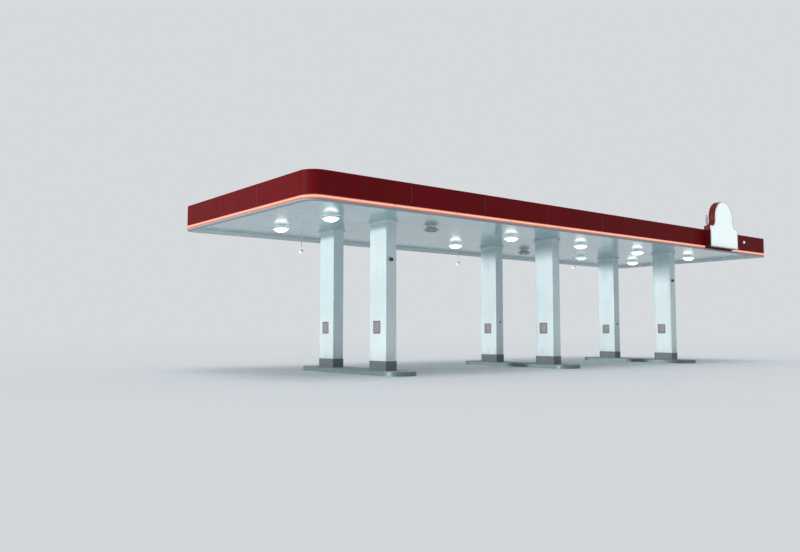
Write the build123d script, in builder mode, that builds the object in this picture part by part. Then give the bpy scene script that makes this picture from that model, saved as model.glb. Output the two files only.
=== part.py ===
from build123d import *
import os

# Filling station canopy: a flat lit roof on six boxed columns that stand on three kerbed islands.
# Millimetres, +Z up. X runs along the canopy, +Y away from the front. The origin is the centre of
# the middle island's underside, at forecourt level.

# Plan of the roof
canopy_length = 23900
canopy_width = 7950
corner_radius = 450

# Heights of the roof
clearance = 4640
fascia_height = 800
deck_recess = 110

# Islands
island_names = ("left", "middle", "right")
island_spacing = 7700
island_length = 5500
island_width = 1070
island_height = 130
kerb_sheet = 10
kerb_bevel = 6

# Columns
column_spacing = 2890
clad_depth = 400
clad_width = 830
clad_sheet = 4
clad_round = 8
clad_joint_width = 8
clad_joint_depth = 2
skirt_height = 290
skirt_sheet = 8
skirt_bevel = 5
collar_height = 80
collar_reach = 30
collar_bevel = 18

# Steel posts inside the columns
post_size = 254
post_wall = 10
base_plate_depth = 360
base_plate_width = 480
base_plate_sheet = 25
cap_plate_size = 300
cap_plate_sheet = 20

# Main beams, one across each pair of posts
beam_depth = 356
beam_flange = 171
beam_flange_sheet = 10
beam_web = 7
beam_root = 12
end_plate_sheet = 12
stiffener_sheet = 10
fin_plate_height = 180
fin_plate_sheet = 10
fin_plate_lap = 100

# Purlins between the main beams
purlin_rows = 3
purlin_depth = 257
purlin_flange = 102
purlin_flange_sheet = 8
purlin_web = 6
purlin_root = 8
purlin_end_gap = 12

# Edge channels round the steelwork
edge_inset = 190
channel_depth = 254
channel_flange = 66
channel_flange_sheet = 11
channel_web = 10

# Deck of roll-formed pans
pans_per_bay = 19
pan_height = 75
pan_sheet = 3
pan_leg = 14
pan_groove_width = 8
pan_groove_depth = 6
deck_inset = 70
post_hole_gap = 5

# Fascia panels and their frame
fascia_sheet = 6
fascia_cap = 70
fascia_cap_lip = 45
fascia_panels_long = 8
fascia_panels_short = 3
panel_joint_width = 10
panel_joint_depth = 3
piece_joint = 2
rail_leg = 40
rail_foot_leg = 60
rail_sheet = 4
upright_size = 50
upright_wall = 4
uprights_long = 12
uprights_short = 4
outrigger_sheet = 6

# Trim round the soffit
trim_width = 130
trim_sheet = 6
trim_lip_height = 50
trim_bevel = 4

# Light band on the fascia
band_height = 100
band_reach = 40
band_bevel = 26
band_level = 100

# Luminaires under the deck
luminaire_offset_x = 1960
luminaire_offset_y = 1470
luminaire_size = 480
luminaire_height = 45
luminaire_corner = 20
luminaire_bevel = 15
lens_size = 400
lens_height = 150
lens_bevel = 96
lens_edge_bevel = 12

# Pendant domes under the back of the deck
pendant_inset = 525
pendant_drops = (600, 600, 350)
pendant_stem = 40
pendant_flange = 120
pendant_flange_sheet = 8
pendant_sides = 16
dome_size = 190
dome_shoulder = 60
dome_foot_bevel = 40
dome_edge_bevel = 12

# Lit sign cabinet on the front fascia
sign_width = 2110
sign_level = 100
sign_side_height = 840
sign_shoulder_cove = 260
sign_arch_width = 1350
sign_height = 1900
sign_depth = 280
sign_sheet = 5
sign_face_sheet = 20
sign_face_round = 12
sign_tube = 60
sign_tube_spacing = 900
sign_arm_gap = 160
sign_arm_spacing = 400
sign_tube_stub = 40

# Bulkhead lamp on the front fascia
lamp_gap = 1075
lamp_level = 510
lamp_size = 130
lamp_sides = 24
lamp_height = 55
lamp_bevel = 20

# Gap between curved faces that seat on each other
seat_gap = 0.3

# Levels and places worked out from the sizes above
deck_level = clearance + deck_recess
steel_level = deck_level + pan_height
fascia_top = clearance + fascia_height
channel_top = steel_level + channel_depth
islands = {name: (i - (len(island_names) - 1) / 2) * island_spacing for i, name in enumerate(island_names)}
column_rows = {"front": -column_spacing / 2, "back": column_spacing / 2}
channel_inset = edge_inset + channel_flange
frame_reach_x = canopy_length / 2 - channel_inset
frame_reach_y = canopy_width / 2 - channel_inset
purlin_spacing = 2 * frame_reach_y / (purlin_rows + 1)
purlin_ys = [(i - (purlin_rows - 1) / 2) * purlin_spacing for i in range(purlin_rows)]
pan_pitch = island_spacing / pans_per_bay
joint_x = canopy_length / 2 - corner_radius
joint_y = canopy_width / 2 - corner_radius
front_face = -canopy_width / 2
sign_x = islands["right"]
sign_foot = clearance + sign_level
pendant_y = canopy_width / 2 - pendant_inset
lamp_x = sign_x + sign_width / 2 + lamp_gap


def save(piece, name):
    """Label a finished piece and write it to a file of its own."""
    piece.part.label = name
    export_step(piece.part, f"parts/{name}.step")


def ring(level, height, outer_inset, inner_inset):
    """Add a band that follows the roof's outline between two insets."""
    with BuildSketch(Plane.XY.offset(level)) as section:
        rounded_outline(outer_inset)
        rounded_outline(inner_inset, Mode.SUBTRACT)
    extrude(section.sketch, amount=height)


def rounded_outline(inset, mode=Mode.ADD):
    """Draw the roof's outline, moved in by an inset."""
    RectangleRounded(canopy_length - 2 * inset, canopy_width - 2 * inset, corner_radius - inset, mode=mode)


def square_ring(level, height, outer_inset, inner_inset):
    """Add a square-cornered band between two insets from the roof's outline."""
    with BuildSketch(Plane.XY.offset(level)) as section:
        Rectangle(canopy_length - 2 * outer_inset, canopy_width - 2 * outer_inset)
        Rectangle(canopy_length - 2 * inner_inset, canopy_width - 2 * inner_inset, mode=Mode.SUBTRACT)
    extrude(section.sketch, amount=height)


def cut_corner_joints(level, height):
    """Cut the joints where the straight sides meet the rounded corners."""
    with BuildSketch(Plane.XY.offset(level)) as slots:
        with GridLocations(2 * joint_x, 0, 2, 1):
            Rectangle(piece_joint, canopy_width + corner_radius)
        with GridLocations(0, 2 * joint_y, 1, 2):
            Rectangle(canopy_length + corner_radius, piece_joint)
    extrude(slots.sketch, amount=height, mode=Mode.SUBTRACT)


def i_section(depth, flange, flange_sheet, web):
    """Draw an I-section, square at its roots."""
    pocket = (flange - web) / 2
    Rectangle(flange, depth)
    with Locations((-(web + pocket) / 2, 0), ((web + pocket) / 2, 0)):
        Rectangle(pocket, depth - 2 * flange_sheet, mode=Mode.SUBTRACT)


def section_roots(sketch, web, root):
    """Thicken the corners between the web and the flanges."""
    corners = sketch.vertices().filter_by(lambda corner: abs(corner.X) < web)
    chamfer(corners, length=root)


def foot_edges(piece):
    """Return the outer edges of a piece's lowest faces."""
    feet = piece.faces().filter_by(Axis.Z).group_by(Axis.Z)[0]
    return [edge for foot in feet for edge in foot.outer_wire().edges()]


os.makedirs("parts", exist_ok=True)

# Islands: a concrete slab with round ends inside a steel kerb form
for name, x in islands.items():
    with BuildPart() as island:
        with BuildSketch():
            with Locations((x, 0)):
                SlotOverall(island_length - 2 * kerb_sheet - 2 * seat_gap,
                            island_width - 2 * kerb_sheet - 2 * seat_gap, rotation=90)
        extrude(amount=island_height)
    save(island, f"island_{name}")

    with BuildPart() as kerb:
        with BuildSketch():
            with Locations((x, 0)):
                SlotOverall(island_length, island_width, rotation=90)
                SlotOverall(island_length - 2 * kerb_sheet, island_width - 2 * kerb_sheet,
                            rotation=90, mode=Mode.SUBTRACT)
        extrude(amount=island_height)
        top_edges = kerb.faces().sort_by(Axis.Z)[-1].outer_wire().edges()
        chamfer(top_edges, length=kerb_bevel)
    save(kerb, f"island_kerb_{name}")

# Steel posts: base plate, square tube and cap plate under each main beam
post_foot = island_height + base_plate_sheet
cap_level = steel_level - cap_plate_sheet
for name, x in islands.items():
    post_places = [(x, y) for y in column_rows.values()]
    with BuildPart() as posts:
        with BuildSketch(Plane.XY.offset(island_height)):
            with Locations(*post_places):
                Rectangle(base_plate_depth, base_plate_width)
        extrude(amount=base_plate_sheet)
        with BuildSketch(Plane.XY.offset(post_foot)):
            with Locations(*post_places):
                Rectangle(post_size, post_size)
                Rectangle(post_size - 2 * post_wall, post_size - 2 * post_wall, mode=Mode.SUBTRACT)
        extrude(amount=cap_level - post_foot)
        with BuildSketch(Plane.XY.offset(cap_level)):
            with Locations(*post_places):
                Rectangle(cap_plate_size, cap_plate_size)
        extrude(amount=cap_plate_sheet)
    save(posts, f"posts_{name}")

# Column cladding: a boxed sheet wrap with a joint down each wide face
for name, x in islands.items():
    for row, y in column_rows.items():
        with BuildPart() as cladding:
            with BuildSketch(Plane.XY.offset(island_height)):
                with Locations((x, y)):
                    RectangleRounded(clad_depth, clad_width, clad_round)
                    Rectangle(clad_depth - 2 * clad_sheet, clad_width - 2 * clad_sheet, mode=Mode.SUBTRACT)
                with Locations((x - clad_depth / 2, y), (x + clad_depth / 2, y)):
                    Rectangle(2 * clad_joint_depth, clad_joint_width, mode=Mode.SUBTRACT)
            extrude(amount=deck_level - island_height)
        save(cladding, f"column_{name}_{row}")

# Skirts round the column feet
column_places = [(x, y) for x in islands.values() for y in column_rows.values()]
with BuildPart() as skirts:
    with BuildSketch(Plane.XY.offset(island_height)):
        with Locations(*column_places):
            Rectangle(clad_depth + 2 * skirt_sheet, clad_width + 2 * skirt_sheet)
            Rectangle(clad_depth, clad_width, mode=Mode.SUBTRACT)
    extrude(amount=skirt_height)
    skirt_rims = [face.outer_wire().edges() for face in skirts.faces().filter_by(Axis.Z).group_by(Axis.Z)[-1]]
    chamfer([edge for rim in skirt_rims for edge in rim], length=skirt_bevel)
save(skirts, "column_skirts")

# Collars where the columns meet the soffit
with BuildPart() as collars:
    with BuildSketch(Plane.XY.offset(deck_level - collar_height)):
        with Locations(*column_places):
            Rectangle(clad_depth + 2 * collar_reach, clad_width + 2 * collar_reach)
            Rectangle(clad_depth, clad_width, mode=Mode.SUBTRACT)
    extrude(amount=collar_height)
    chamfer(foot_edges(collars), length=collar_bevel)
save(collars, "column_collars")

# Main beams: I-sections across the canopy with end plates, stiffeners and fin plates
beam_mid = steel_level + beam_depth / 2
purlin_mid = steel_level + purlin_depth / 2
fin_reach = beam_flange / 2 + purlin_end_gap + fin_plate_lap
fin_offset = (purlin_web + fin_plate_sheet) / 2
for name, x in islands.items():
    with BuildPart() as beam:
        with BuildSketch(Plane((x, frame_reach_y, beam_mid), x_dir=(1, 0, 0), z_dir=(0, -1, 0))) as beam_sketch:
            i_section(beam_depth, beam_flange, beam_flange_sheet, beam_web)
            section_roots(beam_sketch, beam_web, beam_root)
        extrude(amount=2 * frame_reach_y)
        with BuildSketch(Plane.XY.offset(steel_level)):
            with Locations(*[(x, side * (frame_reach_y - end_plate_sheet / 2)) for side in (-1, 1)]):
                Rectangle(beam_flange, end_plate_sheet)
        extrude(amount=beam_depth)
        with BuildSketch(Plane.XY.offset(steel_level)):
            with GridLocations(0, column_spacing, 1, 2):
                with GridLocations(0, post_size - stiffener_sheet, 1, 2):
                    with Locations((x, 0)):
                        Rectangle(beam_flange, stiffener_sheet)
        extrude(amount=beam_depth)
        with BuildSketch(Plane.XY.offset(purlin_mid - fin_plate_height / 2)):
            with Locations(*[(x, y + fin_offset) for y in purlin_ys]):
                Rectangle(2 * fin_reach, fin_plate_sheet)
        extrude(amount=fin_plate_height)
    save(beam, f"main_beam_{name}")

# Purlins: I-sections along the canopy, one group for each bay
bay_edges = [-frame_reach_x, *islands.values(), frame_reach_x]
bay_names = ("left_end", "left_bay", "right_bay", "right_end")
beam_clear = beam_flange / 2 + purlin_end_gap
for i, name in enumerate(bay_names):
    starts_at_channel = i == 0
    ends_at_channel = i == len(bay_names) - 1
    start = bay_edges[i] + (0 if starts_at_channel else beam_clear)
    stop = bay_edges[i + 1] - (0 if ends_at_channel else beam_clear)
    with BuildPart() as purlins:
        for y in purlin_ys:
            with BuildSketch(Plane((start, y, purlin_mid), x_dir=(0, 1, 0), z_dir=(1, 0, 0))) as purlin_sketch:
                i_section(purlin_depth, purlin_flange, purlin_flange_sheet, purlin_web)
                section_roots(purlin_sketch, purlin_web, purlin_root)
            extrude(amount=stop - start)
        plate_x = start + end_plate_sheet / 2 if starts_at_channel else stop - end_plate_sheet / 2
        if starts_at_channel or ends_at_channel:
            with BuildSketch(Plane.XY.offset(steel_level)):
                with Locations(*[(plate_x, y) for y in purlin_ys]):
                    Rectangle(end_plate_sheet, purlin_flange)
            extrude(amount=purlin_depth)
    save(purlins, f"purlins_{name}")

# Edge channels: toes outwards, round the ends of the beams and purlins, the short ones between the long
with BuildPart() as channels:
    square_ring(steel_level, channel_depth, channel_inset - channel_web, channel_inset)
    square_ring(steel_level, channel_flange_sheet, edge_inset, channel_inset)
    square_ring(channel_top - channel_flange_sheet, channel_flange_sheet, edge_inset, channel_inset)
    with BuildSketch(Plane.XY.offset(steel_level)):
        with GridLocations(0, 2 * frame_reach_y - piece_joint, 1, 2):
            Rectangle(canopy_length, piece_joint)
    extrude(amount=channel_depth, mode=Mode.SUBTRACT)
save(channels, "edge_channels")

# Deck: pans with standing legs, seen from below as flat strips between grooves
deck_reach = canopy_length / 2 - deck_inset
deck_edges = [-deck_reach, *islands.values(), deck_reach]
post_hole = cap_plate_size + 2 * post_hole_gap
for i, name in enumerate(bay_names):
    start, stop = deck_edges[i], deck_edges[i + 1]
    anchor = stop if i == 0 else start
    step = -pan_pitch if i == 0 else pan_pitch
    seams = [anchor + step * n for n in range(1, int((stop - start) / pan_pitch) + 1)]
    seams = [seam for seam in seams if start + pan_leg < seam < stop - pan_leg]
    with BuildPart() as deck:
        with BuildSketch(Plane((0, canopy_width / 2, deck_level), x_dir=(1, 0, 0), z_dir=(0, -1, 0))):
            with Locations(((start + stop) / 2, pan_sheet / 2)):
                Rectangle(stop - start, pan_sheet)
            with Locations(*[(seam, pan_height / 2) for seam in seams]):
                Rectangle(pan_leg, pan_height)
            with Locations((start + pan_leg / 4, pan_height / 2), (stop - pan_leg / 4, pan_height / 2)):
                Rectangle(pan_leg / 2, pan_height)
            with Locations(*[(seam, 0) for seam in seams]):
                Triangle(a=pan_groove_width, b=pan_groove_depth * 1.5, c=pan_groove_depth * 1.5,
                         align=(Align.CENTER, Align.MIN), mode=Mode.SUBTRACT)
        extrude(amount=canopy_width)
        with BuildSketch(Plane.XY.offset(deck_level)):
            rounded_outline(deck_inset)
        extrude(amount=pan_height, mode=Mode.INTERSECT)
        with BuildSketch(Plane.XY.offset(deck_level)):
            with Locations(*column_places):
                Rectangle(post_hole, post_hole)
        extrude(amount=pan_height, mode=Mode.SUBTRACT)
    save(deck, f"deck_{name}")

# Soffit trim: a folded trough that hangs under the deck's edge and closes the foot of the fascia
trim_lip_top = clearance + trim_lip_height
with BuildPart() as trim:
    ring(clearance, trim_sheet, 0, trim_width)
    ring(clearance, deck_recess, trim_width - trim_sheet, trim_width)
    ring(clearance, trim_lip_height, 0, fascia_sheet)
    inner_foot = trim.faces().sort_by(Axis.Z)[0].inner_wires()[0].edges()
    chamfer(inner_foot, length=trim_bevel)
    cut_corner_joints(clearance, deck_recess)
save(trim, "soffit_trim")

# Fascia: folded panels with a cap, cut into four straight sides and four rounded corners
straight_x = 2 * joint_x
straight_y = 2 * joint_y
with BuildPart() as fascia:
    ring(trim_lip_top, fascia_top - trim_lip_top, 0, fascia_sheet)
    ring(fascia_top - fascia_sheet, fascia_sheet, 0, fascia_cap)
    ring(fascia_top - fascia_cap_lip, fascia_cap_lip, fascia_cap - fascia_sheet, fascia_cap)
    cut_corner_joints(trim_lip_top, fascia_top - trim_lip_top)
    with BuildSketch(Plane.XY.offset(trim_lip_top)):
        with GridLocations(straight_x / fascia_panels_long, canopy_width, fascia_panels_long - 1, 2):
            Rectangle(panel_joint_width, 2 * panel_joint_depth)
        with GridLocations(canopy_length, straight_y / fascia_panels_short, 2, fascia_panels_short - 1):
            Rectangle(2 * panel_joint_depth, panel_joint_width)
    extrude(amount=fascia_top - trim_lip_top, mode=Mode.SUBTRACT)
fascia_along_y = fascia.solids().sort_by(Axis.Y)
fascia_along_x = fascia.solids().sort_by(Axis.X)
fascia_sides = {
    "fascia_front": fascia_along_y[0],
    "fascia_back": fascia_along_y[-1],
    "fascia_left": fascia_along_x[0],
    "fascia_right": fascia_along_x[-1],
}
for name, solid in fascia_sides.items():
    with BuildPart() as side_panels:
        add(solid)
    save(side_panels, name)
with BuildPart() as corner_panels:
    add(fascia.solids().filter_by(lambda panel: abs(panel.center().X) > joint_x and abs(panel.center().Y) > joint_y))
save(corner_panels, "fascia_corners")

# Fascia frame: angle rails, uprights and outriggers that lap on the edge channels
frame_foot = clearance + trim_sheet
upright_foot = frame_foot + rail_sheet
upright_top = fascia_top - fascia_sheet - rail_sheet
upright_inset = fascia_sheet + rail_sheet + upright_size / 2
long_pitch = (straight_x - 2 * upright_size) / (uprights_long - 1)
short_pitch = (straight_y - 2 * upright_size) / (uprights_short - 1)
outrigger_end = channel_inset - channel_web
outrigger_start = fascia_sheet + rail_sheet + upright_size
outrigger_length = outrigger_end - outrigger_start
outrigger_inset = (outrigger_start + outrigger_end) / 2
outrigger_levels = (steel_level + channel_flange_sheet, channel_top - channel_flange_sheet - outrigger_sheet)
with BuildPart() as frame:
    for level in (frame_foot, upright_top):
        ring(level, rail_sheet, fascia_sheet, fascia_sheet + rail_leg)
    for level, leg in ((frame_foot, rail_foot_leg), (fascia_top - fascia_sheet - rail_leg, rail_leg)):
        with BuildSketch(Plane.XY.offset(level)):
            with GridLocations(0, canopy_width - 2 * fascia_sheet - rail_sheet, 1, 2):
                Rectangle(straight_x, rail_sheet)
            with GridLocations(canopy_length - 2 * fascia_sheet - rail_sheet, 0, 2, 1):
                Rectangle(rail_sheet, straight_y)
        extrude(amount=leg)
    with BuildSketch(Plane.XY.offset(upright_foot)):
        for size, mode in ((upright_size, Mode.ADD), (upright_size - 2 * upright_wall, Mode.SUBTRACT)):
            with GridLocations(long_pitch, canopy_width - 2 * upright_inset, uprights_long, 2):
                Rectangle(size, size, mode=mode)
            with GridLocations(canopy_length - 2 * upright_inset, short_pitch, 2, uprights_short):
                Rectangle(size, size, mode=mode)
    extrude(amount=upright_top - upright_foot)
    for level in outrigger_levels:
        with BuildSketch(Plane.XY.offset(level)):
            with GridLocations(long_pitch, canopy_width - 2 * outrigger_inset, uprights_long, 2):
                Rectangle(upright_size, outrigger_length)
            with GridLocations(canopy_length - 2 * outrigger_inset, short_pitch, 2, uprights_short):
                Rectangle(outrigger_length, upright_size)
        extrude(amount=outrigger_sheet)
    cut_corner_joints(frame_foot, fascia_top - frame_foot)
save(frame, "fascia_frame")

# Light band: a half-round lens along the fascia, broken where the sign stands
band_mid = clearance + band_level
band_foot = band_mid - band_height / 2
with BuildPart() as band:
    ring(band_foot, band_height, -band_reach, 0)
    band_rims = [band.faces().sort_by(Axis.Z)[n].outer_wire().edges() for n in (0, -1)]
    chamfer([edge for rim in band_rims for edge in rim], length=band_bevel)
    cut_corner_joints(band_foot, band_height)
    with BuildSketch(Plane.XY.offset(band_foot)):
        with Locations((sign_x, front_face)):
            Rectangle(sign_width + 2 * piece_joint, 4 * band_reach)
    extrude(amount=band_height, mode=Mode.SUBTRACT)
save(band, "light_band")

# Luminaires: shallow housings with dropped tapered lenses
luminaire_places = [(x + side_x * luminaire_offset_x, side_y * luminaire_offset_y)
                    for x in islands.values() for side_x in (-1, 1) for side_y in (-1, 1)]
housing_foot = deck_level - luminaire_height
with BuildPart() as housings:
    with BuildSketch(Plane.XY.offset(deck_level)) as housing_plan:
        with Locations(*luminaire_places):
            Rectangle(luminaire_size, luminaire_size)
        chamfer(housing_plan.vertices(), length=luminaire_corner)
    extrude(amount=-luminaire_height)
    chamfer(foot_edges(housings), length=luminaire_bevel)
save(housings, "luminaire_housings")

with BuildPart() as lenses:
    with BuildSketch(Plane.XY.offset(housing_foot)) as lens_plan:
        with Locations(*luminaire_places):
            Rectangle(lens_size, lens_size)
    extrude(amount=-lens_height)
    chamfer(foot_edges(lenses), length=lens_bevel)
    chamfer(foot_edges(lenses), length=lens_edge_bevel)
save(lenses, "luminaire_lenses")

# Dome of the pendants, with its top at the origin: a round drum with stepped bevels
with BuildPart() as dome:
    with BuildSketch():
        RegularPolygon(dome_size / 2, pendant_sides)
    extrude(amount=-(dome_size / 2 + dome_shoulder))
    chamfer(dome.faces().sort_by(Axis.Z)[-1].edges(), length=dome_shoulder)
    chamfer(foot_edges(dome), length=dome_foot_bevel)
    chamfer(foot_edges(dome), length=dome_edge_bevel)

# Pendants: a ceiling flange, a stem and a dome on each island's line
with BuildPart() as pendants:
    for x, drop in zip(islands.values(), pendant_drops):
        dome_top = deck_level - drop + (dome_size + dome_shoulder) / 2
        for level, size, foot in ((deck_level, pendant_flange, deck_level - pendant_flange_sheet),
                                  (deck_level - pendant_flange_sheet, pendant_stem, dome_top)):
            with BuildSketch(Plane.XY.offset(level)):
                with Locations((x, pendant_y)):
                    RegularPolygon(size / 2, pendant_sides)
            extrude(amount=foot - level)
        with Locations((x, pendant_y, dome_top)):
            add(dome.part)
save(pendants, "dome_pendants")

# Sign: an arched cabinet with a pan-formed lit face, standing off the front fascia
arch_radius = sign_arch_width / 2
arch_spring = sign_height - arch_radius
shoulder = (sign_width - sign_arch_width) / 2
sign_back = Plane((sign_x, front_face, sign_foot), x_dir=(1, 0, 0), z_dir=(0, -1, 0))
with BuildSketch() as sign_outline:
    with BuildLine():
        side = Polyline((0, 0), (sign_width / 2, 0), (sign_width / 2, sign_side_height),
                        (arch_radius + sign_shoulder_cove, sign_side_height))
        cove = RadiusArc(side @ 1, (arch_radius, sign_side_height + sign_shoulder_cove), sign_shoulder_cove)
        rise = Line(cove @ 1, (arch_radius, arch_spring))
        RadiusArc(rise @ 1, (0, sign_height), -arch_radius)
        mirror(about=Plane.YZ)
    make_face()

with BuildPart() as cabinet:
    with BuildSketch(sign_back):
        add(sign_outline.sketch_local)
    extrude(amount=sign_depth)
    offset(amount=-sign_sheet, openings=cabinet.faces().sort_by(Axis.Y)[0])
save(cabinet, "sign_cabinet")

with BuildPart() as sign_face:
    with BuildSketch(sign_back.offset(sign_depth)):
        add(sign_outline.sketch_local)
    extrude(amount=sign_face_sheet)
    chamfer(sign_face.faces().sort_by(Axis.Y)[0].edges(), length=sign_face_round)
save(sign_face, "sign_face")

# Sign stand: two tubes on the edge channel with arms to the cabinet's back
tube_y = front_face + edge_inset + channel_flange / 2
sign_arm_levels = (fascia_top + sign_arm_gap, fascia_top + sign_arm_gap + sign_arm_spacing)
sign_tube_top = sign_arm_levels[-1] + sign_tube + sign_tube_stub
with BuildPart() as stand:
    with BuildSketch(Plane.XY.offset(channel_top)):
        with Locations((sign_x, tube_y)):
            with GridLocations(sign_tube_spacing, 0, 2, 1):
                Rectangle(sign_tube, sign_tube)
    extrude(amount=sign_tube_top - channel_top)
    for level in sign_arm_levels:
        with BuildSketch(Plane.XY.offset(level)):
            with Locations((sign_x, (front_face + tube_y) / 2)):
                with GridLocations(sign_tube_spacing, 0, 2, 1):
                    Rectangle(sign_tube, tube_y - front_face)
        extrude(amount=sign_tube)
save(stand, "sign_stand")

# Bulkhead lamp: a round drum with a bevelled lens on the front fascia
with BuildPart() as lamp:
    with BuildSketch(Plane((lamp_x, front_face, clearance + lamp_level), x_dir=(1, 0, 0), z_dir=(0, -1, 0))):
        RegularPolygon(lamp_size / 2, lamp_sides)
    extrude(amount=lamp_height)
    chamfer(lamp.faces().sort_by(Axis.Y)[0].edges(), length=lamp_bevel)
save(lamp, "fascia_lamp")
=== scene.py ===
"""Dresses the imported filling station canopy: finishes, fittings, lamps, studio and camera.

Everything is in metres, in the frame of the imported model: X runs along the canopy, -Y is its
front and Z is up, with the forecourt at zero.
"""
import logging
from collections.abc import Iterable, Iterator, Sequence
from dataclasses import dataclass
from enum import Enum
from itertools import product
from math import copysign, cos, hypot, pi, radians, sin, tau

import bmesh
import bpy
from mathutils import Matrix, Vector


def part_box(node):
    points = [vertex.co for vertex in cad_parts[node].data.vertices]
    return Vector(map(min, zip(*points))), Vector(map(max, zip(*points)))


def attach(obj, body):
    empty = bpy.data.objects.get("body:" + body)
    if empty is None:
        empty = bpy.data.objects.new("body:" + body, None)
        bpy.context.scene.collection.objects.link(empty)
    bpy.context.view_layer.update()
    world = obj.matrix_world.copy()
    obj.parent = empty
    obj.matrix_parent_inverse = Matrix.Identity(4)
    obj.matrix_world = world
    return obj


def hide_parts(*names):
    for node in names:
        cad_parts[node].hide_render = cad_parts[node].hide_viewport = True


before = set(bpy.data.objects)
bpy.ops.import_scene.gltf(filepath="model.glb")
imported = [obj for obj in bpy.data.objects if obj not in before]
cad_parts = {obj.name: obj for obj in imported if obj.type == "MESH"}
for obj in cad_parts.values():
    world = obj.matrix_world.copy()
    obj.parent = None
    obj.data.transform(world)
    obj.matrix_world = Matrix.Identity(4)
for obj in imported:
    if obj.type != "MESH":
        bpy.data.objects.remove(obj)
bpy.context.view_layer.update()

Colour = tuple[float, float, float]
Point = tuple[float, float, float]
Flat = tuple[float, float]
Row = tuple[float, ...]
Mesh = bpy.types.Mesh
Node = bpy.types.Node
Socket = bpy.types.NodeSocket
Value = object

log = logging.getLogger("canopy")

BODY = "root"
ISLANDS = ("left", "middle", "right")
SIDES = (-1, 1)
CORNERS = tuple(product(SIDES, SIDES))
UP: Point = (0.0, 0.0, 1.0)
DOWN: Point = (0.0, 0.0, -1.0)
FRONT: Point = (0.0, -1.0, 0.0)
BACK: Point = (0.0, 1.0, 0.0)
EVEN: Point = (1.0, 1.0, 1.0)
HAIR = 0.0002  # the gap between a fitting and the face that it sits on


# Node trees

class Graph:
    """Adds nodes to one node tree and links their sockets."""

    def __init__(self, tree: bpy.types.NodeTree) -> None:
        """Start on a tree, emptied of the nodes it came with."""
        self.tree = tree
        tree.nodes.clear()

    def add(self, kind: str, inputs: dict[str | int, Value] | None = None,
            **settings: Value) -> Node:
        """Add a node to the tree.

        Args:
            kind: Blender's name for the node.
            inputs: Sockets to link, or plain values, by input name or number.
            settings: The node's own options.

        Returns:
            The new node.
        """
        node = self.tree.nodes.new(kind)
        for name, value in settings.items():
            setattr(node, name, value)
        self.feed(node, inputs or {})
        return node

    def feed(self, node: Node, inputs: dict[str | int, Value]) -> None:
        """Fill a node's inputs.

        Args:
            node: The node.
            inputs: Sockets to link, or plain values, by input name or number.
        """
        for key, value in inputs.items():
            socket = node.inputs[key]
            if isinstance(value, Socket):
                self.tree.links.new(value, socket)
            elif socket.type == "RGBA" and len(value) == 3:
                socket.default_value = (*value, 1.0)
            else:
                socket.default_value = value

    def math(self, operation: str, first: Value, second: Value = 0.0) -> Socket:
        """Combine two numbers by a named operation."""
        return self.add("ShaderNodeMath", {0: first, 1: second}, operation=operation).outputs[0]


class Shading(Graph):
    """A material's node tree, with the patterns that the finishes share."""

    def place(self, scale: Point = EVEN) -> Socket:
        """Read the object's own coordinates.

        Args:
            scale: How far they are stretched.

        Returns:
            The coordinates.
        """
        coordinates = self.add("ShaderNodeTexCoord").outputs["Object"]
        if scale == EVEN:
            return coordinates
        return self.add("ShaderNodeMapping", {"Vector": coordinates, "Scale": scale}).outputs[0]

    def axis(self, name: str) -> Socket:
        """Return one coordinate of the object, by its letter."""
        return self.add("ShaderNodeSeparateXYZ", {0: self.place()}).outputs[name]

    def noise(self, scale: float, stretch: Point = EVEN, detail: float = 3.0) -> Socket:
        """Return a soft random pattern, with features of about one over the scale."""
        inputs = {"Vector": self.place(stretch), "Scale": scale, "Detail": detail}
        return self.add("ShaderNodeTexNoise", inputs).outputs[0]

    def cells(self, scale: float, output: str = "Distance") -> Socket:
        """Return a pattern of cells, as the distance to a cell's point or as its colour."""
        return self.add("ShaderNodeTexVoronoi", {"Vector": self.place(), "Scale": scale}).outputs[output]

    def ramp(self, value: Value, low: float, high: float, start: float = 0.0, stop: float = 1.0) -> Socket:
        """Map a number from one range to another, smoothly and held at both ends."""
        inputs = {"Value": value, "From Min": low, "From Max": high, "To Min": start, "To Max": stop}
        return self.add("ShaderNodeMapRange", inputs, interpolation_type="SMOOTHSTEP").outputs[0]

    def vector(self, operation: str, first: Value, second: Value = UP) -> Node:
        """Combine two vectors by a named operation."""
        return self.add("ShaderNodeVectorMath", {0: first, 1: second}, operation=operation)

    def patches(self, scale: float, low: float, high: float, share: float, stretch: Point = EVEN,
                detail: float = 3.0) -> Socket:
        """Return soft patches, rising to a share as the noise passes from low to high."""
        return self.ramp(self.noise(scale, stretch, detail), low, high, 0.0, share)

    def mix(self, factor: Value, first: Value, second: Value) -> Socket:
        """Mix two colours."""
        return self.add("ShaderNodeMix", {0: factor, 6: first, 7: second}, data_type="RGBA").outputs[2]

    def bump(self, height: Value, distance: float, strength: float = 1.0,
             under: Socket | None = None) -> Socket:
        """Turn a height pattern into a normal.

        Args:
            height: The pattern, from 0 to 1.
            distance: How far the pattern rises, in metres.
            strength: The share of it that shows.
            under: A normal from another bump, which this one adds to.

        Returns:
            The normal.
        """
        inputs = {"Height": height, "Distance": distance, "Strength": strength}
        if under is not None:
            inputs["Normal"] = under
        return self.add("ShaderNodeBump", inputs).outputs[0]


class Surface(Shading):
    """A material's node tree that ends in one shader."""

    def __init__(self, tree: bpy.types.NodeTree, colour: Colour) -> None:
        """Start with the shader.

        Args:
            tree: The material's own tree.
            colour: The shader's plain colour.
        """
        super().__init__(tree)
        self.shader = self.add("ShaderNodeBsdfPrincipled", {"Base Color": colour})
        self.add("ShaderNodeOutputMaterial", {"Surface": self.shader.outputs[0]})

    def finish(self, **inputs: Value) -> None:
        """Link or set the shader's inputs, by their names with underscores for spaces."""
        self.feed(self.shader, {name.replace("_", " "): value for name, value in inputs.items()})


# Finishes

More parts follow.
